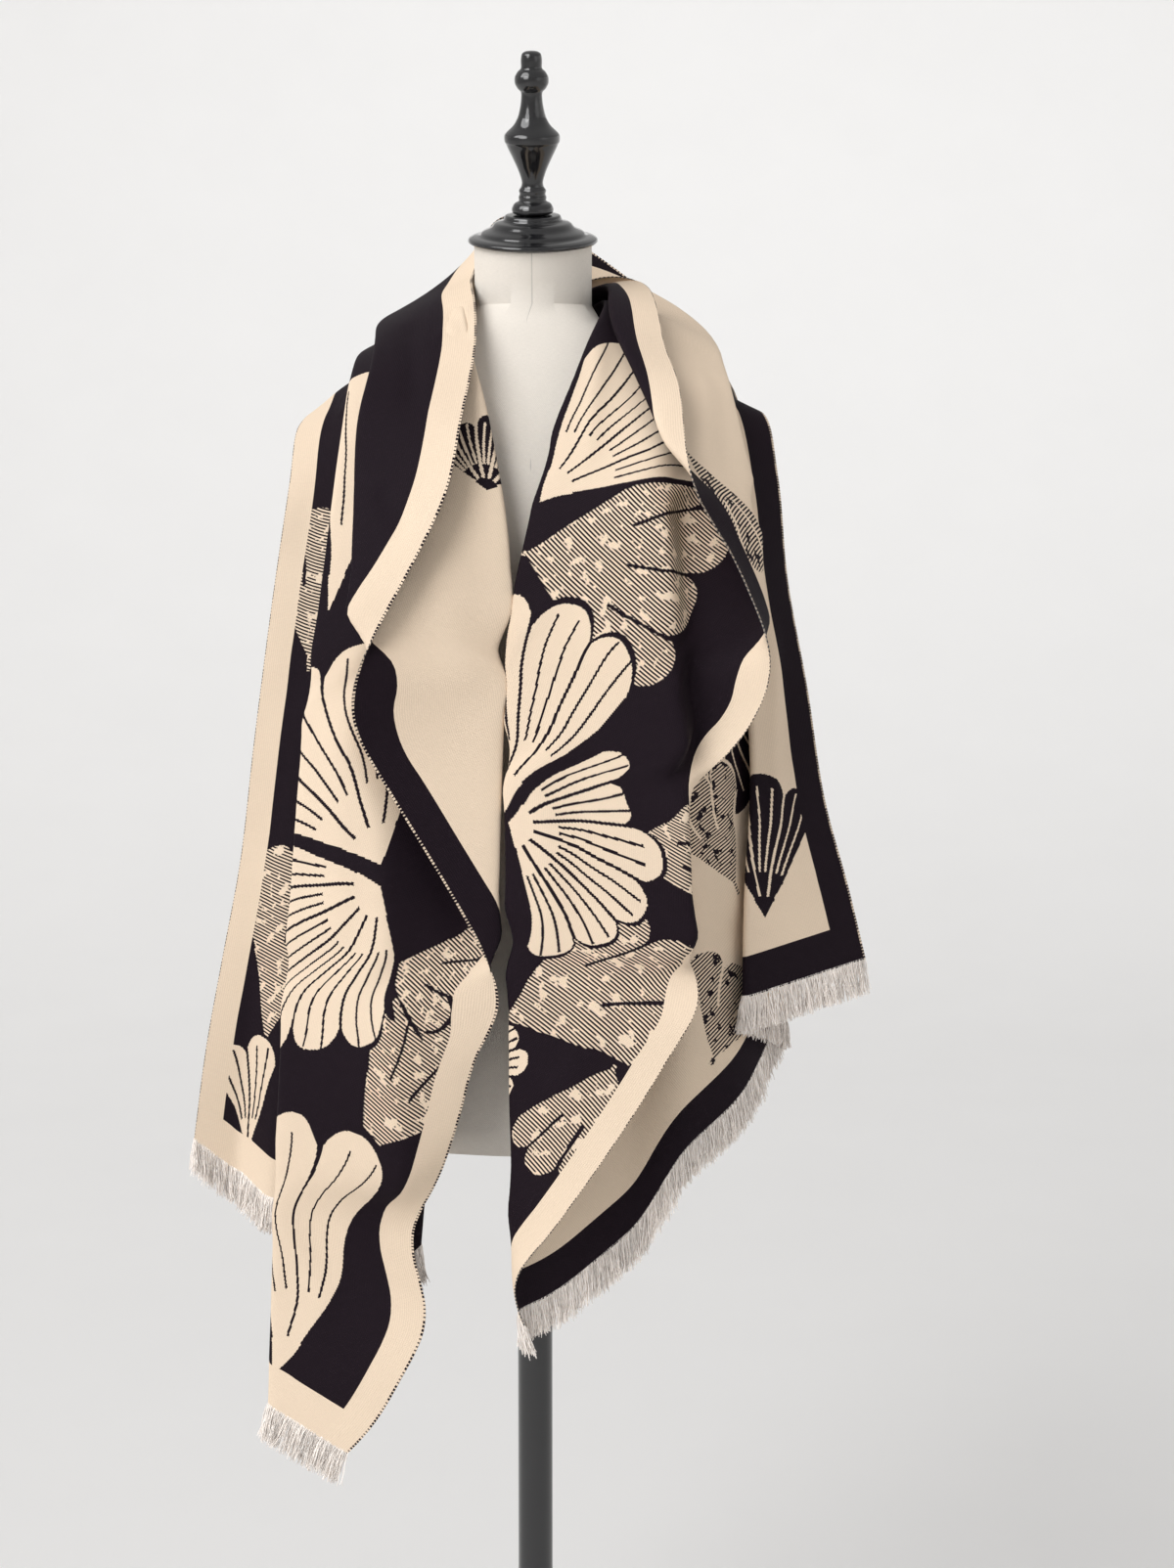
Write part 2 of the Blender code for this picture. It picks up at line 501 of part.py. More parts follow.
def fringe(name, hem, below, normals, material):
    """A narrow strip along the hem, with a tapering lock hanging from each field of it."""
    columns = np.arange(len(hem))
    at, locks = lock_stations(len(hem) - 1)
    line, lower, out = (np.stack([np.interp(at, columns, row[:, k]) for k in range(3)], axis=1)
                        for row in (hem, below, normals))
    down = unit(lower - line)
    line = line + 0.5 * SEAM_GAP * down
    out = unit(out)
    plumb = np.array((0.0, 0.0, -1.0)) - out * (out @ np.array((0.0, 0.0, -1.0)))[:, None]
    hang = evened(unit(0.6 * down + 0.4 * plumb))
    out *= 0.5 * CLOTH_THICKNESS
    verts = np.concatenate((line + out, lower + out, line - out, lower - out)).tolist()
    n = len(line)
    faces = [(0, n, 3 * n, 2 * n), (n - 1, 3 * n - 1, 4 * n - 1, 2 * n - 1)]
    for c in range(n - 1):
        front, front_root, rear, rear_root = c, n + c, 2 * n + c, 3 * n + c
        faces.append((front, front + 1, front_root + 1, front_root))
        faces.append((rear, rear_root, rear_root + 1, rear + 1))
        faces.append((front, rear, rear + 1, front + 1))
        corners = (front_root, front_root + 1, rear_root + 1, rear_root)
        if c in locks:
            add_lock(verts, faces, corners, 0.5 * (hang[c] + hang[c + 1]))
        else:
            faces.append(corners)
    return mesh_object(name, verts, faces, material)


def lock_stations(fields):
    """The strip's stations, three to each field of the hem, and which of its pieces carry a lock."""
    margin = 0.5 * (1.0 - LOCK_FILL)
    stations = []
    for field in range(fields):
        stations += [field, field + margin, field + 1.0 - margin]
    stations.append(fields)
    return np.array(stations), set(range(1, 3 * fields, 3))


def add_lock(verts, faces, corners, hang):
    """One four-sided lock, drawn out of the strip's lower edge to a narrow tip."""
    root = np.array([verts[i] for i in corners])
    middle = root.mean(axis=0)
    tip = middle + LOCK_TAPER * (root - middle) + FRINGE_LENGTH * hang
    first = len(verts)
    verts.extend(tip.tolist())
    ends = tuple(range(first, first + 4))
    for i in range(4):
        j = (i + 1) % 4
        faces.append((corners[i], corners[j], ends[j], ends[i]))
    faces.append(ends)


def mesh_object(name, verts, faces, material):
    mesh = bpy.data.meshes.new(name)
    mesh.from_pydata(verts, [], faces)
    bm = bmesh.new()
    bm.from_mesh(mesh)
    bmesh.ops.recalc_face_normals(bm, faces=bm.faces)
    bm.to_mesh(mesh)
    bm.free()
    obj = bpy.data.objects.new(name, mesh)
    bpy.context.collection.objects.link(obj)
    mesh.materials.append(material)
    mesh.shade_smooth()
    return obj


def turned(name, profile, frame, material):
    """A turned piece: the profile spun round the frame's own Z axis."""
    bm = bmesh.new()
    rings = []
    for radius, height in profile:
        if radius == 0.0:
            rings.append([bm.verts.new(frame @ Vector((0.0, 0.0, height * CM)))])
            continue
        ring = []
        for k in range(ROUND_SEGMENTS):
            angle = 2.0 * math.pi * k / ROUND_SEGMENTS
            spot = Vector((math.cos(angle) * radius, math.sin(angle) * radius, height)) * CM
            ring.append(bm.verts.new(frame @ spot))
        rings.append(ring)
    for lower, upper in zip(rings, rings[1:]):
        join_rings(bm, lower, upper)
    return finish_round(name, bm, material)


def join_rings(bm, lower, upper):
    count = max(len(lower), len(upper))
    for k in range(count):
        j = (k + 1) % count
        if len(lower) == 1:
            bm.faces.new((lower[0], upper[j], upper[k]))
        elif len(upper) == 1:
            bm.faces.new((lower[k], lower[j], upper[0]))
        else:
            bm.faces.new((lower[k], lower[j], upper[j], upper[k]))


def finish_round(name, bm, material):
    bmesh.ops.recalc_face_normals(bm, faces=bm.faces)
    mesh = bpy.data.meshes.new(name)
    bm.to_mesh(mesh)
    bm.free()
    mesh.materials.append(material)
    mesh.shade_smooth()
    mesh.set_sharp_from_angle(angle=math.radians(40.0))
    obj = bpy.data.objects.new(name, mesh)
    bpy.context.collection.objects.link(obj)
    return obj


def build_torso(material):
    bm = bmesh.new()
    rings = [[bm.verts.new(point) for point in ring] for ring in torso_rings()]
    for lower, upper in zip(rings, rings[1:]):
        join_rings(bm, lower, upper)
    bm.faces.new(rings[0])
    bm.faces.new(rings[-1])
    return finish_round("form_torso", bm, material)


def build_form(linen, wood):
    build_torso(linen)
    axis = Matrix.Translation(NECK_TOP) @ Matrix.Rotation(NECK_TILT, 4, "X")
    lifted = axis @ Matrix.Translation((0.0, 0.0, SEAM_GAP))
    turned("neck_cap", CAP_PROFILE, lifted, wood)
    turned("finial", FINIAL_PROFILE, lifted, wood)
    pole = ((0.0, 4.43), (POLE_RADIUS / CM, 4.43), (POLE_RADIUS / CM, POLE_TOP / CM), (0.0, POLE_TOP / CM))
    turned("pole", pole, Matrix.Identity(4), wood)
    turned("base", BASE_PROFILE, Matrix.Identity(4), wood)


def scarf_grid(rows, columns, twist_rows):
    """The whole strip's middle surface, from the long fall's fringe round the nape to the short's."""
    long_fall = fall_grid(LONG_FALL, rows, columns)
    short_fall = fall_grid(SHORT_FALL, rows, columns)
    twist = twist_grid(long_fall[0], short_fall[0], twist_rows)
    whole = np.concatenate((long_fall[::-1], twist[1:-1], short_fall))
    middle = slice(rows - 4, rows + twist_rows + 4)
    whole[middle] = smoothed(whole[middle], passes=SEAM_EVENING)
    return settled(whole, torso_skin())


def build_scarf(cloth, yarn):
    whole = scarf_grid(FALL_ROWS, CLOTH_COLUMNS, TWIST_ROWS)
    normals = surface_normals(whole)
    first_seam, second_seam = FALL_ROWS, FALL_ROWS + TWIST_ROWS - 1
    for name, start, end in (("scarf_front_long", 1, first_seam),
                             ("scarf_neck_twist", first_seam, second_seam),
                             ("scarf_front_short", second_seam, len(whole) - 2)):
        cloth_wall(name, whole[start:end + 1], normals[start:end + 1], cloth)
    fringe("fringe_long", whole[1], whole[0], normals[1], yarn)
    fringe("fringe_short", whole[-2], whole[-1], normals[-2], yarn)


def principled(name, colour, roughness, metallic=0.0):
    material = bpy.data.materials.new(name)
    material.use_nodes = True
    shader = material.node_tree.nodes["Principled BSDF"]
    shader.inputs["Base Color"].default_value = (*colour, 1.0)
    shader.inputs["Roughness"].default_value = roughness
    shader.inputs["Metallic"].default_value = metallic
    return material


def main():
    for obj in list(bpy.data.objects):
        bpy.data.objects.remove(obj, do_unlink=True)
    cloth = principled("jacquard cloth", (0.60, 0.50, 0.38), 0.75)
    yarn = principled("fringe yarn", (0.45, 0.36, 0.33), 0.45)
    linen = principled("natural linen", (0.72, 0.66, 0.58), 0.85)
    wood = principled("black lacquered wood", (0.012, 0.012, 0.013), 0.18)
    build_form(linen, wood)
    build_scarf(cloth, yarn)


main()
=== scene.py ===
"""Blanket scarf of double-faced woven cloth, draped over a limbless dress form.

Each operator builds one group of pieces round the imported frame: the dress form, the cloth with its
folds, the fringe, and the stage that they stand on.
"""

import math

import bpy
import numpy as np
from mathutils import Matrix, Vector
from mathutils.bvhtree import BVHTree


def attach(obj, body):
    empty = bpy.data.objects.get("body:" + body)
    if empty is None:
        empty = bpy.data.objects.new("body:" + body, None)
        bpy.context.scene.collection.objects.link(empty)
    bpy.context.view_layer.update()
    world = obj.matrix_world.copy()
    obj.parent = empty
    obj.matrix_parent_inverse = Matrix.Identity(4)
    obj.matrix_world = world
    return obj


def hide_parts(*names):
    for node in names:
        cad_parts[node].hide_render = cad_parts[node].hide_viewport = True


bl_info = {
    "name": "Blanket Scarf",
    "version": (1, 0, 0),
    "blender": (4, 5, 0),
    "location": "3D View > Sidebar > Scarf",
    "description": "Builds a fringed blanket scarf draped over a dress form",
    "category": "Add Mesh",
}

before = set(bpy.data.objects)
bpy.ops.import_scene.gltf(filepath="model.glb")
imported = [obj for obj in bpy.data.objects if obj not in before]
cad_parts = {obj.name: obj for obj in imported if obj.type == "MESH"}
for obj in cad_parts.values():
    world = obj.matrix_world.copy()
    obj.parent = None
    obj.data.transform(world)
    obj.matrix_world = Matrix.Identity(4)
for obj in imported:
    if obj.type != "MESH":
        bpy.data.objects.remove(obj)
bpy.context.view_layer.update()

CM = 0.01
BODY = "root"

# ---- cloth ----
CLOTH_WIDTH = 0.60
CLOTH_LENGTH = 2.00
CLOTH_THICKNESS = 0.0012
SHELL_THICKNESS = 0.0010
FALL_ROWS = 56              # stations down each fall before the surface is refined
CLOTH_COLUMNS = 72          # stations across the cloth before the surface is refined
TWIST_ROWS = 24             # stations round the nape before the surface is refined
REFINE = 3                  # steps that each station is divided into
TRACK_SAMPLES = 160         # samples along one fold
DENSE = 600                 # samples used to round one section
WAY_STEP = 0.02             # share of a fold on both sides of a place over which its way is taken
FOLD_LOOP = 0.006           # width of the loop in which a tight fold turns
LOOP_SHARE = 0.4            # that loop's greatest width against the way to the next corner
FOLD_ROUNDING = 0.008       # length of cloth over which a corner is rounded
FOLD_FADE = 0.02            # share of a fall before a fold's end at which the fold is flat
TURN_WEIGHT = 0.012         # extra length given to a turn of one radian when stations are shared out
FRINGE_STRIP = 0.006        # length below the hem over which the fringe's way is taken
EVENING_PULLS = (0.5, -0.52)        # towards the neighbours' middle, and back out again
WAY_EVENING = 4             # passes that bring ways along a row nearer to each other
SEAM_EVENING = 3            # passes that even the cloth where the falls meet the twist
SEAM_REACH = 4              # rows of each fall that are evened there
SOFT_ROWS = 30              # rows from the short fall's hem up whose bends are rounded off
SOFT_COLUMNS = (30, 66)     # and the columns between which they are
SOFT_FADE = 3.0             # columns over which the rounding fades in and out
SOFT_PASSES = 10            # passes in which a point moves up to halfway to its neighbours' middle

# ---- settling and laying flat ----
FORM_CLEARANCE = 0.0007     # air between the cloth and the form it rests on
LAYER_CLEARANCE = 0.0005    # least air between two layers of the cloth
SAME_LAYER = 3              # cells to each side of a point that are its own layer
SETTLING_PASSES = 16        # most passes that part the layers and lift them off the form
SETTLED = 1e-5              # movement below which the cloth has settled
HELD_BAND = 0.03            # beside the long edges the distance from the edge is kept
ROW_SMOOTHING = 3           # passes that even the distances from the edges, from row to row
EASING = (
    # cells under the longer links, their stiffness, passes, evening
    ((3, 6), 1.0, 1200, 0.0),
    ((2,), 0.3, 600, 0.4),
)
EASING_MEMORY = 0.9         # share of the last pass's movement that goes on in the next
EASING_STEP = 0.8           # share of the links' pull that a pass gives way to
EASED_CELL = 0.01           # width of a cell that is evened with a weight of 1; narrower ones weigh more

# ---- dress form ----
NECK_RADIUS = 0.049
NECK_TILT = math.radians(17.0)
NECK_TOP = Vector((0.0, -0.004, 1.458))
FORM_SEGMENTS = 32          # sides of the form that the cloth is settled on
SMOOTH_SEGMENTS = 128       # sides of the form's and the stand's finished surfaces
POLE_RADIUS = 0.015
POLE_FOOT = 0.0443          # heights of the pole's ends above the floor
POLE_TOP = 0.6997
SEAM_GAP = 0.0003           # between the neck's top and what is turned to stand on it
TORSO_EASE = 0.002          # how far the finished torso lies inside its solid under the cloth
NECK_SHARES = (0.25, 0.6, 1.0)      # heights of the neck's rings between the torso and the neck's top
CORNER_CUT = 0.2            # share of an edge of a turned profile that is cut off at each end
SHARP_ANGLE = math.radians(50.0)    # sharper edges aren't shaded smoothly
FRONT_SHARE = 0.75          # of the way round a ring, which starts on the wearer's left

# Rings of the torso: height, half width, depth to the front and to the back (cm).
TORSO_RINGS = (
    # height  half_width  front  back
    (70.0, 10.5, 7.0, 7.5),
    (70.6, 14.2, 9.2, 10.0),
    (73.0, 16.0, 10.3, 11.3),
    (80.0, 16.6, 10.8, 12.0),
    (89.0, 15.0, 9.9, 10.6),
    (99.0, 12.3, 8.8, 8.6),
    (108.0, 13.8, 10.4, 9.2),
    (116.0, 15.2, 12.0, 10.2),
    (122.0, 15.9, 11.8, 10.6),
    (127.0, 17.4, 10.2, 10.2),
    (130.5, 17.6, 8.6, 9.4),
    (132.6, 16.6, 7.5, 8.6),
    (134.6, 14.4, 6.6, 7.8),
    (136.4, 11.4, 5.8, 7.1),
    (137.9, 8.4, 5.1, 6.4),
    (139.2, 6.0, 4.6, 5.7),
)
RING_POWER = 2.25           # 2 is an ellipse, more is squarer

# Turned profiles: distance from the axis and height above the neck's top (cm).
CAP_PROFILE = (
    (0.0, 0.0), (5.2, 0.0), (5.42, 0.18), (5.36, 0.42), (5.0, 0.58), (4.45, 0.66),
    (4.25, 0.95), (3.5, 1.25), (3.15, 1.7), (2.45, 1.85), (2.35, 2.2), (2.2, 2.35), (0.0, 2.35),
)
FINIAL_PROFILE = (
    (0.0, 2.38), (1.6, 2.38), (1.78, 2.75), (1.55, 3.25), (1.1, 3.45), (1.18, 3.75), (1.05, 4.0),
    (1.16, 4.3), (0.92, 4.6), (0.86, 5.0), (1.15, 5.9), (1.62, 6.9), (2.02, 7.7), (2.16, 8.05),
    (2.28, 8.2), (2.3, 8.7), (2.12, 8.95), (1.5, 9.5), (1.12, 10.2), (0.9, 11.2), (0.84, 12.1),
    (1.15, 12.35), (1.4, 12.8), (1.4, 13.3), (1.12, 13.75), (0.84, 13.95), (0.88, 14.6),
    (0.8, 15.1), (0.5, 15.3), (0.0, 15.35),
)
BASE_PROFILE = (
    (0.0, 0.0), (16.3, 0.0), (16.5, 0.4), (16.5, 1.2), (16.1, 1.6), (9.0, 2.1), (4.2, 2.5),
    (3.4, 3.1), (2.9, 4.2), (2.6, 4.4), (0.0, 4.4),
)

# ---- fold tables ----
# Each fold or edge has its name, the place where it runs out (the hem, or the edge that it meets)
# and its stations from the top of the shoulder down: side (+ is the wearer's left), forward of the
# form's axis, and height above the floor, in cm.
SHORT_FALL = (
    ("outer edge", "hem", (
        (17.3, -0.5, 132.4), (19.2, 3.2, 131.4), (20.1, 5.2, 126.5), (20.9, 6.0, 118.0),
        (22.6, 6.0, 109.0), (24.2, 5.6, 99.6), (26.3, 5.0, 92.2), (27.8, 4.5, 86.3))),
    ("outer pleat, inner fold", "hem", (
        (14.5, -0.5, 134.6), (15.8, 4.0, 132.6), (15.8, 8.0, 127.0), (16.4, 9.8, 119.0),
        (17.4, 9.8, 109.5), (17.8, 9.6, 101.0), (17.4, 9.8, 94.0), (17.2, 10.0, 84.0))),
    ("outer pleat, outer fold", "hem", (
        (12.9, -0.5, 135.9), (14.2, 4.2, 133.6), (15.4, 6.6, 127.0), (17.2, 6.2, 118.0),
        (18.8, 5.8, 108.5), (19.8, 5.2, 100.0), (20.4, 4.6, 92.0), (21.0, 4.2, 81.6))),
    ("inner pleat, outer fold", "hem", (
        (11.6, -0.5, 136.8), (12.6, 4.8, 134.6), (13.4, 8.8, 126.6), (14.6, 10.4, 117.0),
        (15.6, 10.2, 108.0), (16.2, 9.6, 93.8), (16.4, 9.2, 81.8), (17.0, 9.0, 75.2))),
    ("inner pleat, inner fold", "hem", (
        (10.4, -0.5, 137.8), (11.0, 5.6, 135.6), (11.4, 11.4, 125.6), (12.0, 13.0, 113.6),
        (12.3, 13.4, 101.8), (12.5, 12.4, 85.9), (12.8, 11.2, 72.2))),
    ("hidden wave, back", "hem", (
        (8.8, -0.5, 139.0), (9.0, 5.8, 136.6), (8.0, 11.2, 125.0), (8.0, 10.6, 110.0),
        (8.0, 9.8, 90.0), (8.1, 11.4, 64.8))),
    ("hidden wave, front", "hem", (
        (7.4, -0.5, 140.1), (7.2, 5.8, 137.6), (4.4, 12.4, 126.0), (2.6, 13.6, 108.0),
        (1.8, 13.8, 88.0), (1.6, 13.6, 60.2))),
    ("neckline fold", "hem", (
        (5.9, -0.5, 141.2), (5.6, 4.0, 139.6), (4.6, 7.2, 137.2), (3.4, 10.4, 133.8),
        (2.3, 12.4, 131.0), (1.0, 13.8, 126.2), (-0.5, 14.6, 120.6), (-1.5, 15.0, 115.1),
        (-2.0, 15.4, 103.6), (-2.3, 15.4, 86.5), (-2.3, 15.4, 74.8), (-1.6, 15.2, 65.2),
        (-1.0, 14.6, 59.3))),
    ("middle ridge", "lapel edge", (
        (9.0, -0.5, 139.6), (8.8, 6.4, 136.6), (9.4, 11.6, 132.0), (10.2, 15.0, 128.0),
        (10.6, 16.6, 124.0), (11.1, 17.4, 115.1), (12.1, 18.0, 103.6), (12.9, 18.0, 90.1),
        (13.4, 17.8, 85.6))),
    ("middle valley", "lapel edge", (
        (12.4, -0.5, 137.7), (12.8, 5.6, 134.8), (12.1, 12.8, 128.5), (12.0, 15.0, 121.0),
        (12.6, 15.4, 114.0), (12.9, 15.4, 108.0), (12.6, 15.5, 101.8))),
    ("shoulder fold", "lapel edge", (
        (15.6, -0.5, 136.9), (16.2, 4.4, 133.8), (16.8, 8.8, 129.9), (17.4, 11.8, 126.2),
        (18.0, 14.2, 121.4), (18.5, 15.8, 114.6), (18.8, 16.8, 110.5))),
    ("collar fold", "lapel edge", (
        (6.3, -0.5, 142.3), (6.2, 4.2, 140.4), (6.7, 7.8, 137.8), (7.8, 10.8, 135.2),
        (9.0, 13.6, 132.2), (10.2, 16.2, 129.2), (12.2, 18.2, 125.2), (13.1, 18.8, 123.8))),
    ("lapel edge", "hem", (
        (9.8, -0.5, 142.0), (10.3, 4.4, 139.8), (10.7, 8.6, 136.6), (11.7, 13.0, 133.2),
        (12.0, 16.4, 129.6), (12.3, 18.2, 126.6), (13.2, 19.0, 123.6), (14.9, 19.1, 121.0),
        (16.7, 18.7, 117.4), (18.7, 17.2, 110.6), (15.9, 16.6, 104.8), (12.2, 15.5, 101.0),
        (11.4, 14.8, 94.2), (12.2, 15.4, 88.6), (13.4, 17.6, 85.4), (11.4, 18.1, 81.6),
        (6.5, 18.1, 73.6), (1.4, 17.6, 66.2), (-1.3, 16.6, 62.2), (-0.5, 15.2, 58.2))),
)

LONG_FALL = (
    ("lapel edge", "hem", (
        (-5.2, -0.5, 142.9), (-4.7, 3.4, 141.0), (-4.4, 7.0, 137.8), (-4.8, 11.6, 133.2),
        (-5.3, 14.0, 130.4), (-6.3, 17.0, 124.6), (-8.3, 18.2, 120.1), (-10.9, 18.7, 115.2),
        (-13.5, 18.4, 109.6), (-13.6, 17.4, 106.6), (-12.1, 16.6, 103.4), (-9.0, 16.1, 98.0),
        (-6.1, 15.8, 93.0), (-3.5, 15.6, 87.9), (-2.3, 15.6, 84.2), (-4.1, 15.7, 80.9),
        (-5.2, 15.3, 76.8), (-7.6, 14.5, 69.6), (-9.6, 13.6, 65.2), (-8.9, 14.2, 61.6),
        (-8.3, 15.4, 58.7), (-9.9, 16.1, 55.2), (-13.0, 15.7, 49.8), (-14.8, 15.1, 47.7))),
    ("lapel fold", "lapel edge", (
        (-13.2, -0.5, 138.8), (-12.9, 4.4, 137.2), (-13.0, 8.8, 134.4), (-13.6, 12.0, 130.6),
        (-13.7, 15.2, 123.5), (-13.8, 17.6, 115.8), (-13.9, 18.3, 110.4))),
    ("neckline fold", "lapel edge", (
        (-5.6, -0.5, 141.6), (-5.2, 4.2, 140.0), (-4.7, 7.8, 136.2), (-3.7, 10.2, 132.6),
        (-2.6, 12.2, 127.5), (-1.8, 13.8, 122.9), (-1.4, 14.6, 118.0), (-1.8, 15.1, 109.7),
        (-2.3, 15.2, 98.4), (-2.4, 15.4, 86.4), (-2.3, 15.6, 84.2))),
    ("hollow behind the lapel", "lapel edge", (
        (-7.8, -0.5, 140.3), (-7.4, 4.6, 138.0), (-6.8, 11.4, 127.5), (-7.4, 12.8, 118.0),
        (-8.0, 12.8, 106.0), (-6.4, 13.0, 96.0), (-3.2, 14.0, 86.4))),
    ("leaf ridge", "lapel edge", (
        (-10.2, -0.5, 139.0), (-10.2, 5.6, 136.4), (-11.4, 12.0, 124.6), (-13.0, 14.0, 112.0),
        (-13.8, 14.6, 106.0), (-12.0, 15.2, 97.4), (-11.3, 16.0, 87.5), (-10.8, 16.6, 78.1),
        (-10.2, 16.3, 71.6), (-9.6, 15.0, 65.6))),
    ("leaf fold", "hem", (
        (-14.8, -0.5, 136.4), (-15.0, 5.0, 133.6), (-15.4, 8.6, 128.6), (-16.6, 11.2, 118.1),
        (-18.1, 12.6, 106.1), (-19.2, 13.0, 93.1), (-20.3, 13.0, 78.2), (-21.2, 13.0, 58.6),
        (-21.5, 13.0, 51.1))),
    ("hidden inner fold", "hem", (
        (-8.6, -0.5, 138.6), (-8.6, 5.0, 135.6), (-8.0, 9.8, 128.4), (-6.0, 12.0, 118.0),
        (-5.1, 11.6, 101.4), (-7.1, 10.6, 85.3), (-8.6, 10.0, 69.1), (-9.1, 9.8, 63.4))),
    ("outer wave, front", "hem", (
        (-13.2, -0.5, 136.2), (-13.8, 5.4, 132.4), (-14.6, 8.4, 120.0), (-17.0, 8.6, 102.0),
        (-20.2, 8.2, 82.0), (-21.9, 7.6, 66.7))),
    ("outer wave, back", "hem", (
        (-15.8, -0.5, 134.4), (-16.8, 4.0, 130.8), (-18.0, 6.8, 120.0), (-20.4, 7.2, 102.0),
        (-23.4, 6.2, 82.0), (-24.9, 4.8, 68.3))),
    ("outer edge", "hem", (
        (-18.0, -0.5, 132.2), (-19.3, 3.2, 130.6), (-19.8, 5.4, 126.0), (-20.8, 6.4, 119.0),
        (-22.9, 6.8, 103.9), (-24.1, 6.4, 94.9), (-25.8, 6.0, 86.5), (-27.3, 5.6, 79.0),
        (-28.5, 5.2, 71.1))),
)

# ---- the twist round the nape ----
# Each corner of the gathered section runs from a fold of the long fall to one of the short fall.
TWIST_CORNERS = (
    # long fall           short fall
    ("lapel edge", "outer edge"),
    ("lapel fold", "neckline fold"),
    ("neckline fold", "shoulder fold"),
    ("leaf fold", "collar fold"),
    ("hidden inner fold", "lapel edge"),
    ("outer edge", "lapel edge"),
)
TWIST_RADIUS = 0.086        # from the neck's middle to the middle of the bundle, at the nape
TWIST_HEIGHT = 1.402        # height of the middle of the bundle at the nape
TWIST_WIDEN = 1.08          # width of the bundle at the nape against its width on the shoulders
TWIST_LOOSEN = 0.90         # how much thicker the bundle is at the nape than on the shoulders
TWIST_RISE = 0.010          # how far it rises on its way from a shoulder to the nape
TWIST_SLOPE = math.radians(26.0)
TWIST_LEAN = math.radians(20.0)     # how far the bundle leans back over the shoulders at the nape


# ---- curves and sections ----
def spline(points, samples):
    """A smooth curve through the points, as evenly spaced samples."""
    pts = np.asarray(points, dtype=float)
    steps = np.linalg.norm(np.diff(pts, axis=0), axis=1)
    knots = np.concatenate(([0.0], np.cumsum(steps)))
    slopes = np.gradient(pts, knots, axis=0)
    at = np.linspace(0.0, knots[-1], samples)
    span = np.clip(np.searchsorted(knots, at, side="right") - 1, 0, len(knots) - 2)
    width = knots[span + 1] - knots[span]
    t = ((at - knots[span]) / width)[:, None]
    width = width[:, None]
    return ((2 * t**3 - 3 * t**2 + 1) * pts[span] + (t**3 - 2 * t**2 + t) * width * slopes[span]
            + (3 * t**2 - 2 * t**3) * pts[span + 1] + (t**3 - t**2) * width * slopes[span + 1])


def along(curve, share):
    """The point at a share of the curve's length."""
    steps = np.linalg.norm(np.diff(curve, axis=0), axis=1)
    run = np.concatenate(([0.0], np.cumsum(steps)))
    return np.array([np.interp(share * run[-1], run, curve[:, axis]) for axis in range(3)])


def station(side, forward, height):
    return (side * CM, -forward * CM, height * CM)


def fold_tracks(table):
    """Each fold as a dense curve, with the share of the fall's length at which it runs out."""
    curves = {name: spline([station(*row) for row in stations], TRACK_SAMPLES)
              for name, _, stations in table}
    tracks = []
    for name, ends, _ in table:
        share = 1.0
        if ends != "hem":
            apart = np.linalg.norm(curves[ends] - curves[name][-1], axis=1)
            share = int(np.argmin(apart)) / (TRACK_SAMPLES - 1.0)
        tracks.append((curves[name], share))
    return tracks


def looped(corners, ways):
    """Gives each corner of a section two points, a fold's loop apart and square to the way the fold
    runs, so that its two layers stay apart."""
    points = [corners[0]]
    for before, here, after, way in zip(corners, corners[1:], corners[2:], ways[1:]):
        back, onward = before - here, after - here
        room = min(np.linalg.norm(back), np.linalg.norm(onward))
        apart = unit(back - way * back.dot(way)) - unit(onward - way * onward.dot(way))
        apart = unit(apart) * 0.5 * min(FOLD_LOOP, LOOP_SHARE * room)
        points += [here + apart, here - apart]
    points.append(corners[-1])
    return np.array(points)


def rounded(corners, ways, columns):
    """A section through the folds' corners, each rounded, as stations that crowd where it turns."""
    dense = resample(looped(corners, ways), DENSE)
    length = np.linalg.norm(np.diff(dense, axis=0), axis=1).sum()
    reach = max(1, int(round(0.5 * FOLD_ROUNDING / length * DENSE)))
    for _ in range(2):
        before = 2 * dense[0] - dense[reach:0:-1]
        after = 2 * dense[-1] - dense[-2:-2 - reach:-1]
        padded = np.vstack((before, dense, after))
        sums = np.cumsum(np.vstack((np.zeros(3), padded)), axis=0)
        width = 2 * reach + 1
        dense = (sums[width:] - sums[:-width]) / width
    return resample(dense, columns, TURN_WEIGHT)


def resample(points, count, turn_weight=0.0):
    """Evenly shared stations along a curve; with a turn weight they crowd where it turns."""
    edges = np.diff(points, axis=0)
    steps = np.linalg.norm(edges, axis=1)
    ways = edges / np.maximum(steps, 1e-12)[:, None]
    turns = np.arccos(np.clip((ways[1:] * ways[:-1]).sum(axis=1), -1.0, 1.0))
    steps[1:] += 0.5 * turn_weight * turns
    steps[:-1] += 0.5 * turn_weight * turns
    run = np.concatenate(([0.0], np.cumsum(steps)))
    at = np.linspace(0.0, run[-1], count)
    return np.stack([np.interp(at, run, points[:, axis]) for axis in range(3)], axis=1)


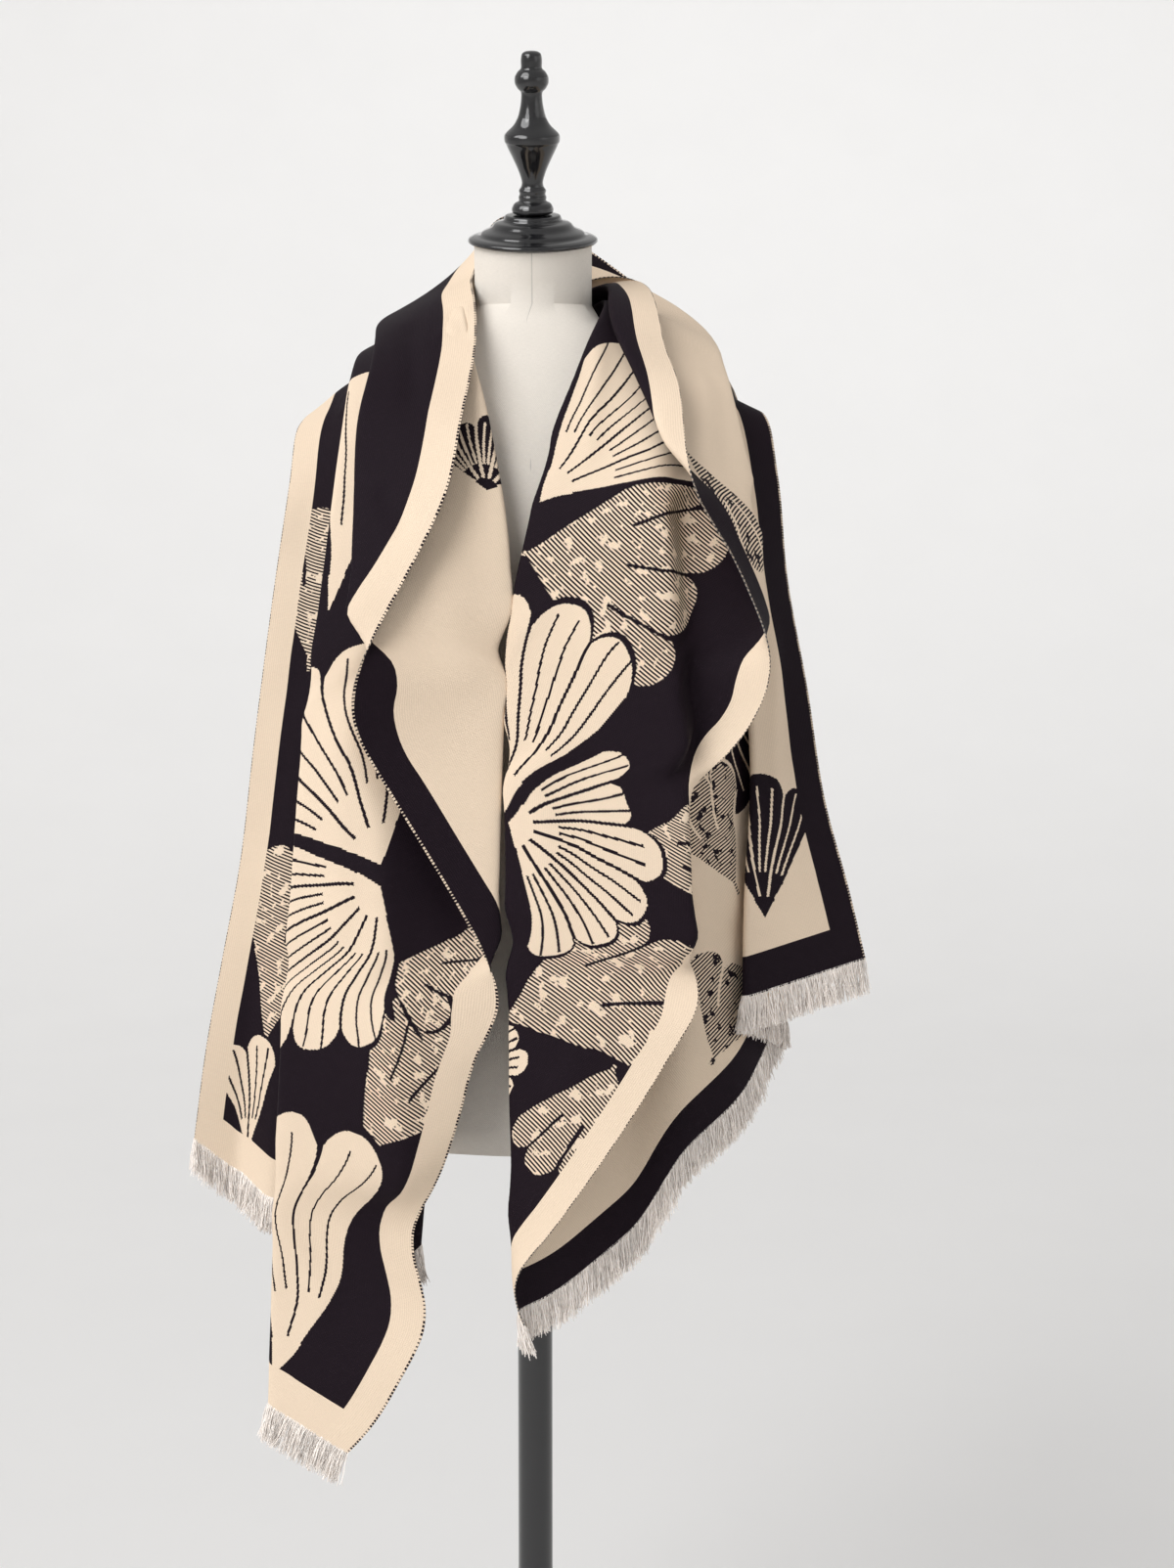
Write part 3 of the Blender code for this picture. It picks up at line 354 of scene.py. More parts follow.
def fall_grid(table, rows, columns):
    """The fall's middle surface: rows from the shoulder to the hem and one more below it, columns
    from edge to edge."""
    tracks = fold_tracks(table)
    grid = []
    for share in np.linspace(0.0, 1.0, rows):
        at = [(curve, share / end) for curve, end in tracks if end == 1.0 or share < end - FOLD_FADE]
        corners = [along(curve, spot) for curve, spot in at]
        ways = [unit(along(curve, spot + WAY_STEP) - along(curve, spot - WAY_STEP)) for curve, spot in at]
        grid.append(rounded(corners, ways, columns))
    grid = smoothed(np.array(grid), passes=2)
    below = grid[-1] + FRINGE_STRIP * evened(unit(grid[-1] - grid[-3]))
    return np.concatenate((grid, below[None]))


def unit(vectors):
    return vectors / np.maximum(np.linalg.norm(vectors, axis=-1, keepdims=True), 1e-12)


def evened(vectors):
    """Unit vectors along a row, each brought nearer to its neighbours."""
    for _ in range(WAY_EVENING):
        wide = np.concatenate((vectors[:1], vectors, vectors[-1:]))
        vectors = unit(wide[:-2] + 2.0 * wide[1:-1] + wide[2:])
    return vectors


def smoothed(grid, passes):
    """Evens a grid along its length without drawing its curves in; its first and last rows stay."""
    for _ in range(passes):
        for pull in EVENING_PULLS:
            grid[1:-1] += pull * (0.5 * (grid[:-2] + grid[2:]) - grid[1:-1])
    return grid


def smoothstep(low, high, value):
    t = np.clip((value - low) / (high - low), 0.0, 1.0)
    return t * t * (3.0 - 2.0 * t)


def top_corners(table, names):
    folds = {name: stations[0] for name, _, stations in table}
    return np.array([station(*folds[name]) for name in names])


def twist_grid(start, end, rows):
    """The gathered stretch: from the long fall's top row, round the nape, to the short fall's."""
    first = top_corners(LONG_FALL, [pair[0] for pair in TWIST_CORNERS])
    last = top_corners(SHORT_FALL, [pair[1] for pair in TWIST_CORNERS])
    first_middle = 0.5 * (first.min(axis=0) + first.max(axis=0))
    last_middle = 0.5 * (last.min(axis=0) + last.max(axis=0))
    across_first, stack_first = local_section(first, first_middle, 1.0)
    across_last, stack_last = local_section(last, last_middle, -1.0)
    grid = []
    for share in np.linspace(0.0, 1.0, rows)[1:-1]:
        turn = math.pi * (1.0 - share)
        side, back = abs(math.cos(turn)), math.sin(turn)
        blend = smoothstep(0.0, 1.0, share)
        roll = math.pi * blend
        outward = unit(np.array((math.cos(turn), back,
                                 back * math.tan(TWIST_LEAN) - side * math.tan(TWIST_SLOPE))))
        upward = unit(np.cross(np.array((back, -math.cos(turn), 0.0)), outward))
        upward *= math.copysign(1.0, upward[2])
        shoulder = (1.0 - blend) * np.abs(first_middle) + blend * np.abs(last_middle)
        flat = abs(math.cos(roll))
        radius = flat * shoulder[0] + (1.0 - flat) * TWIST_RADIUS
        height = side**2 * shoulder[2] + back**2 * TWIST_HEIGHT + 2.0 * side * back * TWIST_RISE
        root = side * shoulder[1] + back * neck_middle(height).y
        middle = np.array((radius * math.cos(turn), root + radius * back, height))
        across = (1.0 - blend) * across_first + blend * across_last
        across = across * (1.0 - (1.0 - TWIST_WIDEN) * back)
        stack = (1.0 - blend) * stack_first + blend * stack_last
        stack = stack * (1.0 + TWIST_LOOSEN * back)
        corners = (middle + outward * (across * math.cos(roll) + stack * math.sin(roll))[:, None]
                   + upward * (stack * math.cos(roll) - across * math.sin(roll))[:, None])
        way = np.cross(outward, upward)
        grid.append(rounded(corners, [way] * len(corners), len(start)))
    return np.array([start] + grid + [end])


def local_section(row, middle, sign):
    """A shoulder section as distance outwards and height in the stack, from its middle."""
    side = math.copysign(1.0, middle[0])
    outward = np.array((side * math.cos(TWIST_SLOPE), 0.0, -math.sin(TWIST_SLOPE)))
    upward = np.array((side * math.sin(TWIST_SLOPE), 0.0, math.cos(TWIST_SLOPE)))
    offset = row - middle
    return sign * offset @ outward, sign * offset @ upward


# ---- the form's surface ----
def neck_middle(height):
    """The middle of the neck, which leans forward as it rises."""
    return Vector((0.0, NECK_TOP.y + (NECK_TOP.z - height) * math.tan(NECK_TILT), height))


def super_ring(height, half, front, back, segments):
    """A ring of the torso: a rounded oblong that is deeper on one side than on the other."""
    ring = []
    for k in range(segments):
        angle = 2.0 * math.pi * k / segments
        c, s = math.cos(angle), math.sin(angle)
        depth = back if s > 0.0 else front
        x = half * math.copysign(abs(c)**(2.0 / RING_POWER), c)
        ring.append(Vector((x, depth * math.copysign(abs(s)**(2.0 / RING_POWER), s), height)))
    return ring


def neck_ring(height, tilt, segments):
    """A round ring of the neck, its plane tilted forward."""
    placing = Matrix.Translation(neck_middle(height)) @ Matrix.Rotation(tilt, 4, "X")
    turns = [2.0 * math.pi * k / segments for k in range(segments)]
    return [placing @ (NECK_RADIUS * Vector((math.cos(turn), math.sin(turn), 0.0))) for turn in turns]


def torso_rings(segments=FORM_SEGMENTS, ease=0.0):
    """The rings of the torso, each drawn in by the ease, and of the neck."""
    rings = []
    for row in TORSO_RINGS:
        height, *reaches = (value * CM for value in row)
        rings.append(super_ring(height, *(reach - ease for reach in reaches), segments))
    top = TORSO_RINGS[-1][0] * CM
    for share in NECK_SHARES:
        rings.append(neck_ring(top + share * (NECK_TOP.z - top), share * NECK_TILT, segments))
    return rings


def torso_skin():
    """The torso and neck as a search tree of three-sided faces."""
    rings = torso_rings()
    points = [point for ring in rings for point in ring]
    n = FORM_SEGMENTS
    faces = []
    for level in range(len(rings) - 1):
        for k in range(n):
            a, b = level * n + k, level * n + (k + 1) % n
            faces += [(a, b, b + n), (a, b + n, a + n)]
    return BVHTree.FromPolygons(points, faces)


# ---- settling: layers apart, and off the form ----
def parted(grid):
    """How each point has to move so that no layer comes too close to another."""
    rows, columns = grid.shape[:2]
    reach = CLOTH_THICKNESS + LAYER_CLEARANCE
    faces = [(r * columns + c, r * columns + c + 1, (r + 1) * columns + c + 1, (r + 1) * columns + c)
             for r in range(rows - 1) for c in range(columns - 1)]
    tree = BVHTree.FromPolygons(grid.reshape(-1, 3).tolist(), faces)
    moves = np.zeros_like(grid)
    for r in range(rows):
        for c in range(columns):
            point = Vector(grid[r, c])
            steps = [(point - spot) * (0.5 * (reach - gap) / gap)
                     for spot, _, face, gap in tree.find_nearest_range(point, reach)
                     if not -SAME_LAYER <= face % (columns - 1) - c < SAME_LAYER and gap > 1e-6]
            if steps:
                moves[r, c] = sum(steps, Vector()) / len(steps)
    return moves


def lifted(grid, skin):
    """How each point has to move so that the cloth clears the form."""
    wall = 0.5 * CLOTH_THICKNESS + FORM_CLEARANCE
    moves = np.zeros_like(grid)
    rows, columns = grid.shape[:2]
    for r in range(rows):
        for c in range(columns):
            for down, over in ((0, 0), (1, 0), (0, 1), (1, 1)):
                if r + down >= rows or c + over >= columns:
                    continue
                point = Vector(0.5 * (grid[r, c] + grid[r + down, c + over]))
                spot, normal, _, _ = skin.find_nearest(point)
                short = wall - (point - spot).dot(normal)
                if short > 0.0:
                    for row, column in {(r, c), (r + down, c + over)}:
                        if short > np.linalg.norm(moves[row, column]):
                            moves[row, column] = normal * short
    return moves


def settled(grid, skin):
    """The grid with its layers parted and lifted off the form."""
    for _ in range(SETTLING_PASSES):
        moves = parted(grid)
        grid += moves
        lifts = lifted(grid, skin)
        grid += lifts
        if max(np.abs(moves).max(), np.abs(lifts).max()) < SETTLED:
            break
    return grid


def scarf_grid(rows, columns, twist_rows):
    """The whole strip's middle surface, from the long fall's fringe round the nape to the short's."""
    long_fall = fall_grid(LONG_FALL, rows, columns)
    short_fall = fall_grid(SHORT_FALL, rows, columns)
    twist = twist_grid(long_fall[0], short_fall[0], twist_rows)
    whole = np.concatenate((long_fall[::-1], twist[1:-1], short_fall))
    middle = slice(rows - SEAM_REACH, rows + twist_rows + SEAM_REACH)
    whole[middle] = smoothed(whole[middle], passes=SEAM_EVENING)
    return settled(whole, torso_skin())


def surface_normals(grid):
    return unit(np.cross(np.gradient(grid, axis=1), np.gradient(grid, axis=0)))


# ---- the finished surface ----
# Soft creases pressed into the cloth: where each lies in the flat cloth (across from the long
# fall's lapel edge, and along from the long fall's hem), which way it runs, and its size (cm).
CREASES = (
    # across  along  turn_deg  length  width  depth
    # the short fall, from its lapel to its hem
    (29.3, 139.0, 43.0, 17.0, 0.9, 0.28),
    (44.8, 171.0, 12.0, 22.0, 1.9, 0.26),
    (53.5, 185.0, 7.0, 18.0, 1.5, 0.22),
    (36.5, 159.0, -24.0, 14.0, 1.3, 0.20),
    (50.0, 133.0, 41.0, 16.0, 1.5, -0.26),
    (4.4, 172.0, 10.0, 24.0, 0.8, -0.24),
    (21.0, 179.0, 12.0, 16.0, 1.4, -0.22),
    (12.0, 152.0, 12.0, 18.0, 1.5, -0.24),
    (31.0, 188.0, -14.0, 13.0, 1.2, -0.18),
    # round the nape
    (12.0, 108.0, 60.0, 14.0, 1.5, 0.26),
    (26.0, 104.0, 75.0, 16.0, 1.6, 0.22),
    (40.0, 110.0, 110.0, 14.0, 1.4, 0.24),
    (18.0, 96.0, 35.0, 12.0, 1.3, -0.20),
    (47.0, 101.0, 140.0, 12.0, 1.4, 0.22),
    # the long fall, from its lapel to its hem
    (5.6, 83.0, 15.0, 13.0, 1.2, -0.26),
    (3.5, 70.0, 49.0, 6.0, 0.9, -0.22),
    (10.5, 60.0, 19.0, 14.0, 2.2, -0.28),
    (22.5, 40.5, 23.0, 22.0, 1.7, 0.28),
    (11.5, 6.0, 38.0, 12.0, 1.4, 0.22),
    (56.2, 37.0, 7.0, 24.0, 1.9, 0.24),
    (36.0, 28.0, -20.0, 20.0, 1.6, -0.24),
    (46.0, 54.0, 10.0, 22.0, 1.7, 0.24),
    (30.0, 70.0, -9.0, 15.0, 1.1, 0.20),
)


def softened(grid):
    """The draped grid with the bends of the short fall's low end rounded off."""
    rows, columns = grid.shape[:2]
    up = np.clip((np.arange(rows) - (rows - SOFT_ROWS)) / (0.5 * SOFT_ROWS), 0.0, 1.0)
    from_sides = np.stack((np.arange(columns) - SOFT_COLUMNS[0], SOFT_COLUMNS[1] - np.arange(columns)))
    beside = np.clip(from_sides / SOFT_FADE, 0.0, 1.0).prod(axis=0)
    share = (up[:, None] * beside)[:, 1:-1, None]
    for _ in range(SOFT_PASSES):
        grid[:, 1:-1] += 0.5 * share * (0.5 * (grid[:, 2:] + grid[:, :-2]) - grid[:, 1:-1])
    return grid


def refined(grid, steps):
    """The grid with each of its cells divided, on a smooth curve through its points."""
    for axis in (0, 1):
        rows = np.moveaxis(grid, axis, 0)
        before = np.concatenate((2 * rows[:1] - rows[1:2], rows[:-2]))
        after = np.concatenate((rows[2:], 2 * rows[-1:] - rows[-2:-1]))
        finer = []
        for step in range(steps):
            t = step / steps
            weights = (-0.5 * t + t**2 - 0.5 * t**3, 1.0 - 2.5 * t**2 + 1.5 * t**3,
                       0.5 * t + 2.0 * t**2 - 1.5 * t**3, -0.5 * t**2 + 0.5 * t**3)
            parts = (before, rows[:-1], rows[1:], after)
            finer.append(sum(weight * part for weight, part in zip(weights, parts)))
        woven = np.stack(finer, axis=1).reshape((-1,) + rows.shape[1:])
        grid = np.moveaxis(np.concatenate((woven, rows[-1:])), 0, axis)
    return grid


def flat_places(grid):
    """Where each point of the draped strip lies in the flat cloth: across it, along it from the
    long fall's hem, and how far it is from the nearer hem."""
    runs = np.linalg.norm(np.diff(grid, axis=0), axis=2)
    lengthwise = np.concatenate((np.zeros((1, grid.shape[1])), np.cumsum(runs, axis=0)))
    lengthwise -= lengthwise[1]
    from_hem = np.minimum(lengthwise, lengthwise[-2] - lengthwise)
    lengthwise *= CLOTH_LENGTH / lengthwise[-2]
    steps = np.diff(grid, axis=1)
    ways = unit(np.gradient(grid, axis=0))
    ways = unit(ways[:, 1:] + ways[:, :-1])
    aslant = (steps * ways).sum(axis=2, keepdims=True)
    widthwise = np.linalg.norm(steps - aslant * ways, axis=2)
    near = np.concatenate((np.zeros((len(grid), 1)), np.cumsum(widthwise, axis=1)), axis=1)
    far = smoothed_rows(near[:, -1:] - near)
    near = smoothed_rows(near)
    across = (near / (near + far)).mean(axis=0) * CLOTH_WIDTH * np.ones_like(near)
    across = np.where(near < HELD_BAND, near, np.where(far < HELD_BAND, CLOTH_WIDTH - far, across))
    held = (near < HELD_BAND) | (far < HELD_BAND)
    places = np.stack((across, lengthwise.mean(axis=1, keepdims=True) * np.ones_like(near)), axis=2)
    for reaches, stiffness, passes, evening in EASING:
        places = eased_places(grid, places, held, reaches, stiffness, passes, evening)
    return np.concatenate((places, from_hem[:, :, None]), axis=2)


def smoothed_rows(values):
    """The values evened out from each row to the next."""
    for _ in range(ROW_SMOOTHING):
        ends = np.concatenate((values[:1], values, values[-1:]))
        values = 0.25 * ends[:-2] + 0.5 * values + 0.25 * ends[2:]
    return values


def eased_places(grid, places, held, reaches, stiffness, passes, evening):
    """The flat places eased until neighbours lie about as far apart as they do in the drape.

    Longer links, each over one of the given numbers of cells, keep the flat cloth from folding over,
    and the evening spreads what doesn't lie flat over more of the cloth.
    """
    rows, columns = grid.shape[:2]
    links = []
    for down, beside in ((1, 0), (0, 1), (1, 1), (1, -1)):
        here = (slice(0, rows - down), slice(max(0, -beside), columns - max(0, beside)))
        there = (slice(down, rows), slice(max(0, beside), columns + min(0, beside)))
        links.append((here, there, np.linalg.norm(grid[there] - grid[here], axis=2), 1.0))
    whole = slice(None)
    for cells in reaches:
        for axis in (0, 1):
            size = grid.shape[axis]
            spans = np.linalg.norm(np.diff(grid, axis=axis), axis=2)
            rest = sum(np.take(spans, range(k, size - cells + k), axis=axis) for k in range(cells))
            here, there = slice(0, size - cells), slice(cells, size)
            pair = ((here, whole), (there, whole)) if axis == 0 else ((whole, here), (whole, there))
            links.append((*pair, rest, stiffness))
    shared = np.zeros((rows, columns, 1))
    for here, there, _, weight in links:
        shared[here] += weight
        shared[there] += weight
    speed = np.zeros_like(places)
    for _ in range(passes):
        pull = np.zeros_like(places)
        for here, there, rest, weight in links:
            apart = places[there] - places[here]
            reach = np.sqrt((apart * apart).sum(axis=2))
            step = (0.5 * weight * (1.0 - rest / np.maximum(reach, 1e-9)))[:, :, None] * apart
            pull[here] += step
            pull[there] -= step
        spread = np.zeros_like(places)
        for here, there, rest, _ in links[:2]:
            step = places[there] - places[here]
            step = step * (EASED_CELL / np.maximum(rest, 0.1 * EASED_CELL))[:, :, None]
            spread[here] += step
            spread[there] -= step
        pull[1:-1, 1:-1] += evening * spread[1:-1, 1:-1]
        speed = EASING_MEMORY * speed + EASING_STEP * pull / shared
        speed[held, 0] = 0.0
        places = places + speed
    return places


def creased(grid, places, normals):
    """The grid with the soft creases of the table pressed into it."""
    for across, along_cloth, turn, length, width, depth in CREASES:
        offset = places[:, :, :2] - np.array((across, along_cloth)) * CM
        way = np.array((math.sin(math.radians(turn)), math.cos(math.radians(turn))))
        down = np.abs(offset @ way) / (0.5 * length * CM)
        aside = (offset @ np.array((way[1], -way[0]))) / (width * CM)
        fade = 1.0 - smoothstep(0.5, 1.0, down)
        grid = grid + normals * (depth * CM * np.exp(-aside**2) * fade)[:, :, None]
    return grid


def mesh_piece(name, verts, faces, materials, node):
    """A finished piece from its points and faces."""
    mesh = bpy.data.meshes.new(name)
    mesh.from_pydata(np.asarray(verts).tolist(), [], faces)
    for material in materials:
        mesh.materials.append(material)
    return placed(name, mesh, node)


def placed(name, mesh, node):
    """A finished piece in the frame: it rides on the one body and stands for the named solid."""
    mesh.shade_smooth()
    piece = bpy.data.objects.new(name, mesh)
    bpy.context.collection.objects.link(piece)
    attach(piece, BODY)
    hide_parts(node)
    return piece


def cloth_shell(name, grid, normals, places, materials, node):
    """A stretch of the cloth as a thin closed shell: its front, its reverse and its cut edges."""
    rows, columns = grid.shape[:2]
    half = 0.5 * SHELL_THICKNESS * normals
    verts = np.concatenate(((grid + half).reshape(-1, 3), (grid - half).reshape(-1, 3)))
    index = np.arange(rows * columns).reshape(rows, columns)
    corner = index[:-1, :-1].ravel()
    front = np.stack((corner, corner + 1, corner + columns + 1, corner + columns), axis=1)
    reverse = front[:, ::-1] + rows * columns
    loop = np.concatenate((index[0, :], index[1:, -1], index[-1, -2::-1], index[-2:0:-1, 0]))
    after = np.roll(loop, -1)
    rim = np.stack((after, loop, loop + rows * columns, after + rows * columns), axis=1)
    faces = np.concatenate((front, reverse, rim))
    piece = mesh_piece(name, verts, faces.tolist(), materials, node)
    sides = np.repeat((0, 1, 2), (len(front), len(reverse), len(rim)))
    piece.data.polygons.foreach_set("material_index", sides.astype(np.int32))
    carry(piece.data, "flat_cloth", np.tile(places.reshape(-1, 3), (2, 1)))
    piece.data.normals_split_custom_set_from_vertices(
        np.concatenate((normals.reshape(-1, 3), -normals.reshape(-1, 3))).tolist())
    return piece


# ---- shader maths ----
def math_node(operation, swapped=False):
    """A method of Value that builds one Math node; swapped, the value itself comes second."""
    def build(value, *others):
        values = (*others, value) if swapped else (value, *others)
        return value.graph.math(operation, *values)
    return build


class Value:
    """A socket that carries a value, on which Python's own operators build Math nodes."""

    def __init__(self, graph, socket):
        self.graph = graph
        self.socket = socket

    __add__ = math_node("ADD")
    __sub__ = math_node("SUBTRACT")
    __mul__ = math_node("MULTIPLY")
    __truediv__ = math_node("DIVIDE")
    __radd__ = math_node("ADD", swapped=True)
    __rsub__ = math_node("SUBTRACT", swapped=True)
    __lt__ = math_node("LESS_THAN")
    __gt__ = math_node("GREATER_THAN")
    __abs__ = math_node("ABSOLUTE")
    fraction = math_node("FRACT")
    floor = math_node("FLOOR")
    sin = math_node("SINE")
    cos = math_node("COSINE")
    sqrt = math_node("SQRT")
    least = math_node("MINIMUM")
    most = math_node("MAXIMUM")


class Graph:
    """A node tree that is written as expressions, and the shader that it ends in."""

    def __init__(self, tree):
        self.tree = tree
        self.shader = tree.nodes.get("Principled BSDF")

    def node(self, kind, settings=None, sockets=None, output=0):
        made = self.tree.nodes.new(kind)
        for key, value in (settings or {}).items():
            setattr(made, key, value)
        for key, value in (sockets or {}).items():
            if isinstance(value, Value):
                self.tree.links.new(value.socket, made.inputs[key])
            else:
                made.inputs[key].default_value = value
        return Value(self, made.outputs[output])

    def outputs(self, value):
        """All that comes out of the node that the value comes out of."""
        return [Value(self, socket) for socket in value.socket.node.outputs]

    def math(self, operation, *values):
        return self.node("ShaderNodeMath", {"operation": operation}, dict(enumerate(values)))

    def vector(self, operation, *values, output=0):
        return self.node("ShaderNodeVectorMath", {"operation": operation}, dict(enumerate(values)), output)

    def scaled(self, vector, amount):
        return self.node("ShaderNodeVectorMath", {"operation": "SCALE"}, {0: vector, "Scale": amount})

    def parts(self, vector):
        return self.outputs(self.node("ShaderNodeSeparateXYZ", sockets={0: vector}))

    def blend(self, share, first, second):
        return self.node("ShaderNodeMix", {"data_type": "VECTOR"}, {0: share, 4: first, 5: second}, 1)

    def tint(self, share, first, second):
        return self.node("ShaderNodeMix", {"data_type": "RGBA"},
                         {0: share, 6: (*first, 1.0), 7: (*second, 1.0)}, 2)

    def noise(self, vector, scale, detail=2.0, output=0):
        return self.node("ShaderNodeTexNoise", {}, {"Vector": vector, "Scale": scale, "Detail": detail},
                         output)

    def offset(self, vector, scale):
        """A noise that pushes a vector about: from -0.5 to 0.5 each way."""
        return self.vector("SUBTRACT", self.noise(vector, scale, 1.0, output=1), (0.5, 0.5, 0.5))

    def attribute(self, name, output=1):
        """A vector that the mesh carries, or with output 2 a number."""
        return self.node("ShaderNodeAttribute", {"attribute_name": name}, output=output)

    def place(self):
        """Where a point lies along the object's own axes."""
        return self.node("ShaderNodeTexCoord", output=3)

    def wire(self, value, name):
        self.tree.links.new(value.socket, self.shader.inputs[name])

    def relief(self, strength, distance, height):
        self.wire(self.node("ShaderNodeBump", {}, {"Strength": strength, "Distance": distance,
                                                   "Height": height}), "Normal")


def material_graph(name, uniform):
    """A Principled material with its uniform values set, and its graph."""
    material = bpy.data.materials.new(name)
    material.use_nodes = True
    graph = Graph(material.node_tree)
    for key, value in uniform.items():
        graph.shader.inputs[key].default_value = value
    return material, graph


# ---- the woven design ----
THREAD = 0.0009             # size of one step of the woven design
DRIFT = 0.012               # how far the leaves are drawn out of true,
DRIFT_SCALE = 14.0          # and how many times to a metre that turns
HATCH_PITCH = 0.0028        # from one line of the grey leaves to the next
HATCH_LEAN = 0.3            # how far those lines lean across the cloth
HATCH_CREAM = 0.5           # share of cream in them
PATCH_SCALE = 95.0          # small patches to a metre, roughly, in which they run together
PATCH_LEVEL = 0.59          # the higher, the fewer patches
BORDER = 0.027              # plain border along the lapel edges
OUTER_BORDER = 0.023        # and along the edges opposite
END_BORDER = 0.033          # and across the ends
SELVAGE = 0.0015            # overcast edge outside the border
OVERCAST = 0.0028           # length of one of its stitches
CREAM = 1.0
GREY = 0.5

# What follows is in lengths of a leaf from its base, or in shares of its half angle or of a lobe.
LOBES_PER_RADIAN = 5.2
LOBE_UNEVEN = 0.045         # how far the lobes differ in length
RIM_FALL = 0.13             # how much shorter the outermost lobe is, and each lobe at its sides
SLIT_FLARE = 0.17           # how fast the slits between lobes widen towards the rim
SLIT_START = 1.09           # 1 and what the flare comes to where they start
VEINS_PER_LOBE = 3.0
VEIN = 0.0013               # half width of a main vein, in metres
FINE_VEIN = 0.8             # a fine vein's width against a main one's
MAIN_VEIN_FROM = 0.16
GREY_VEIN_FROM = 0.5        # a grey leaf's main veins only show from here on
FINE_VEINS = (0.34, 0.93)   # where the fine veins start and end
STEM = (-0.17, 0.03)        # where the stem starts and ends
STEM_BEND = 0.4
STEM_WIDTH = 0.0018         # its half width, in metres
OUTLINE = (0.05, 0.03)      # the dark line round a leaf, beside it and beyond its rim
LEAF_ROOM = 0.08            # room round a leaf in which its stem and outline are looked for
NO_LEAF = ((0.0, -10.0, 0.0), (0.1, 0.5, 0.0))      # one far off, for places that no leaf is near

# Fan leaves in four layers, each over the one before.  Within a layer no two leaves overlap.
# Where the leaf's base lies (across and along the flat cloth), which way it opens, its length from
# base to rim, half the angle that it opens to, and the yarn that it shows.
LEAF_LAYERS = (
    (
        # across  along  turn_deg  size  half_angle_deg  yarn
        (42, 36, 150, 12, 42, GREY),
        (12, 146, 190, 11, 38, GREY),
        (32.1, 195.6, -129, 10, 35, GREY),
        (56, 136.5, 2, 10, 30, GREY),
        (46, 97, -150, 13, 42, GREY),
        (20, 163, -25, 14, 46, CREAM),
        (14, 121, 170, 13, 44, CREAM),
        (44, 191.5, 110, 6.5, 58, CREAM),
        (51, 170.7, 100, 10, 28, GREY),
        (8.4, 16.6, -24, 12.5, 38, GREY),
        (27, 20, 150, 12, 40, GREY),
        (31.3, 57.7, 7, 21, 16, CREAM),
        (44, 66, 170, 12, 42, CREAM),
        (17.6, 69, 27, 6, 60, CREAM),
    ),
    (
        (53.9, 18, 1, 17, 24, GREY),
        (56, 50.5, 3, 13, 28, GREY),
        (8.9, 188.3, -167, 12.5, 32, CREAM),
        (50, 88, 15, 12, 40, CREAM),
        (27, 101, -60, 13, 44, GREY),
        (31, 180, 195, 10, 40, CREAM),
        (36, 22, -30, 15, 46, CREAM),
        (12.4, 31.1, -88, 11, 35, GREY),
        (56.6, 186.8, 5, 10, 42, GREY),
        (11.4, -3.9, 4, 22, 26, CREAM),
        (34, 152.2, 104, 18, 40, GREY),
    ),
    (
        (54.3, 8.2, 12, 10, 25, CREAM),
        (31, 115, -85, 12, 46, CREAM),
        (21.5, 182.6, 173, 11, 35, GREY),
        (16.8, 37.1, 150, 15.5, 68, CREAM),
        (46.9, 186.8, 131, 14.5, 38, GREY),
        (41.6, 170.8, -176, 17, 33, CREAM),
        (32.6, 148.4, 167, 18, 46, CREAM),
    ),
    (
        (17.6, 38.6, 41, 20, 45, CREAM),
        (42, 171.4, 84, 12, 62, CREAM),
    ),
)


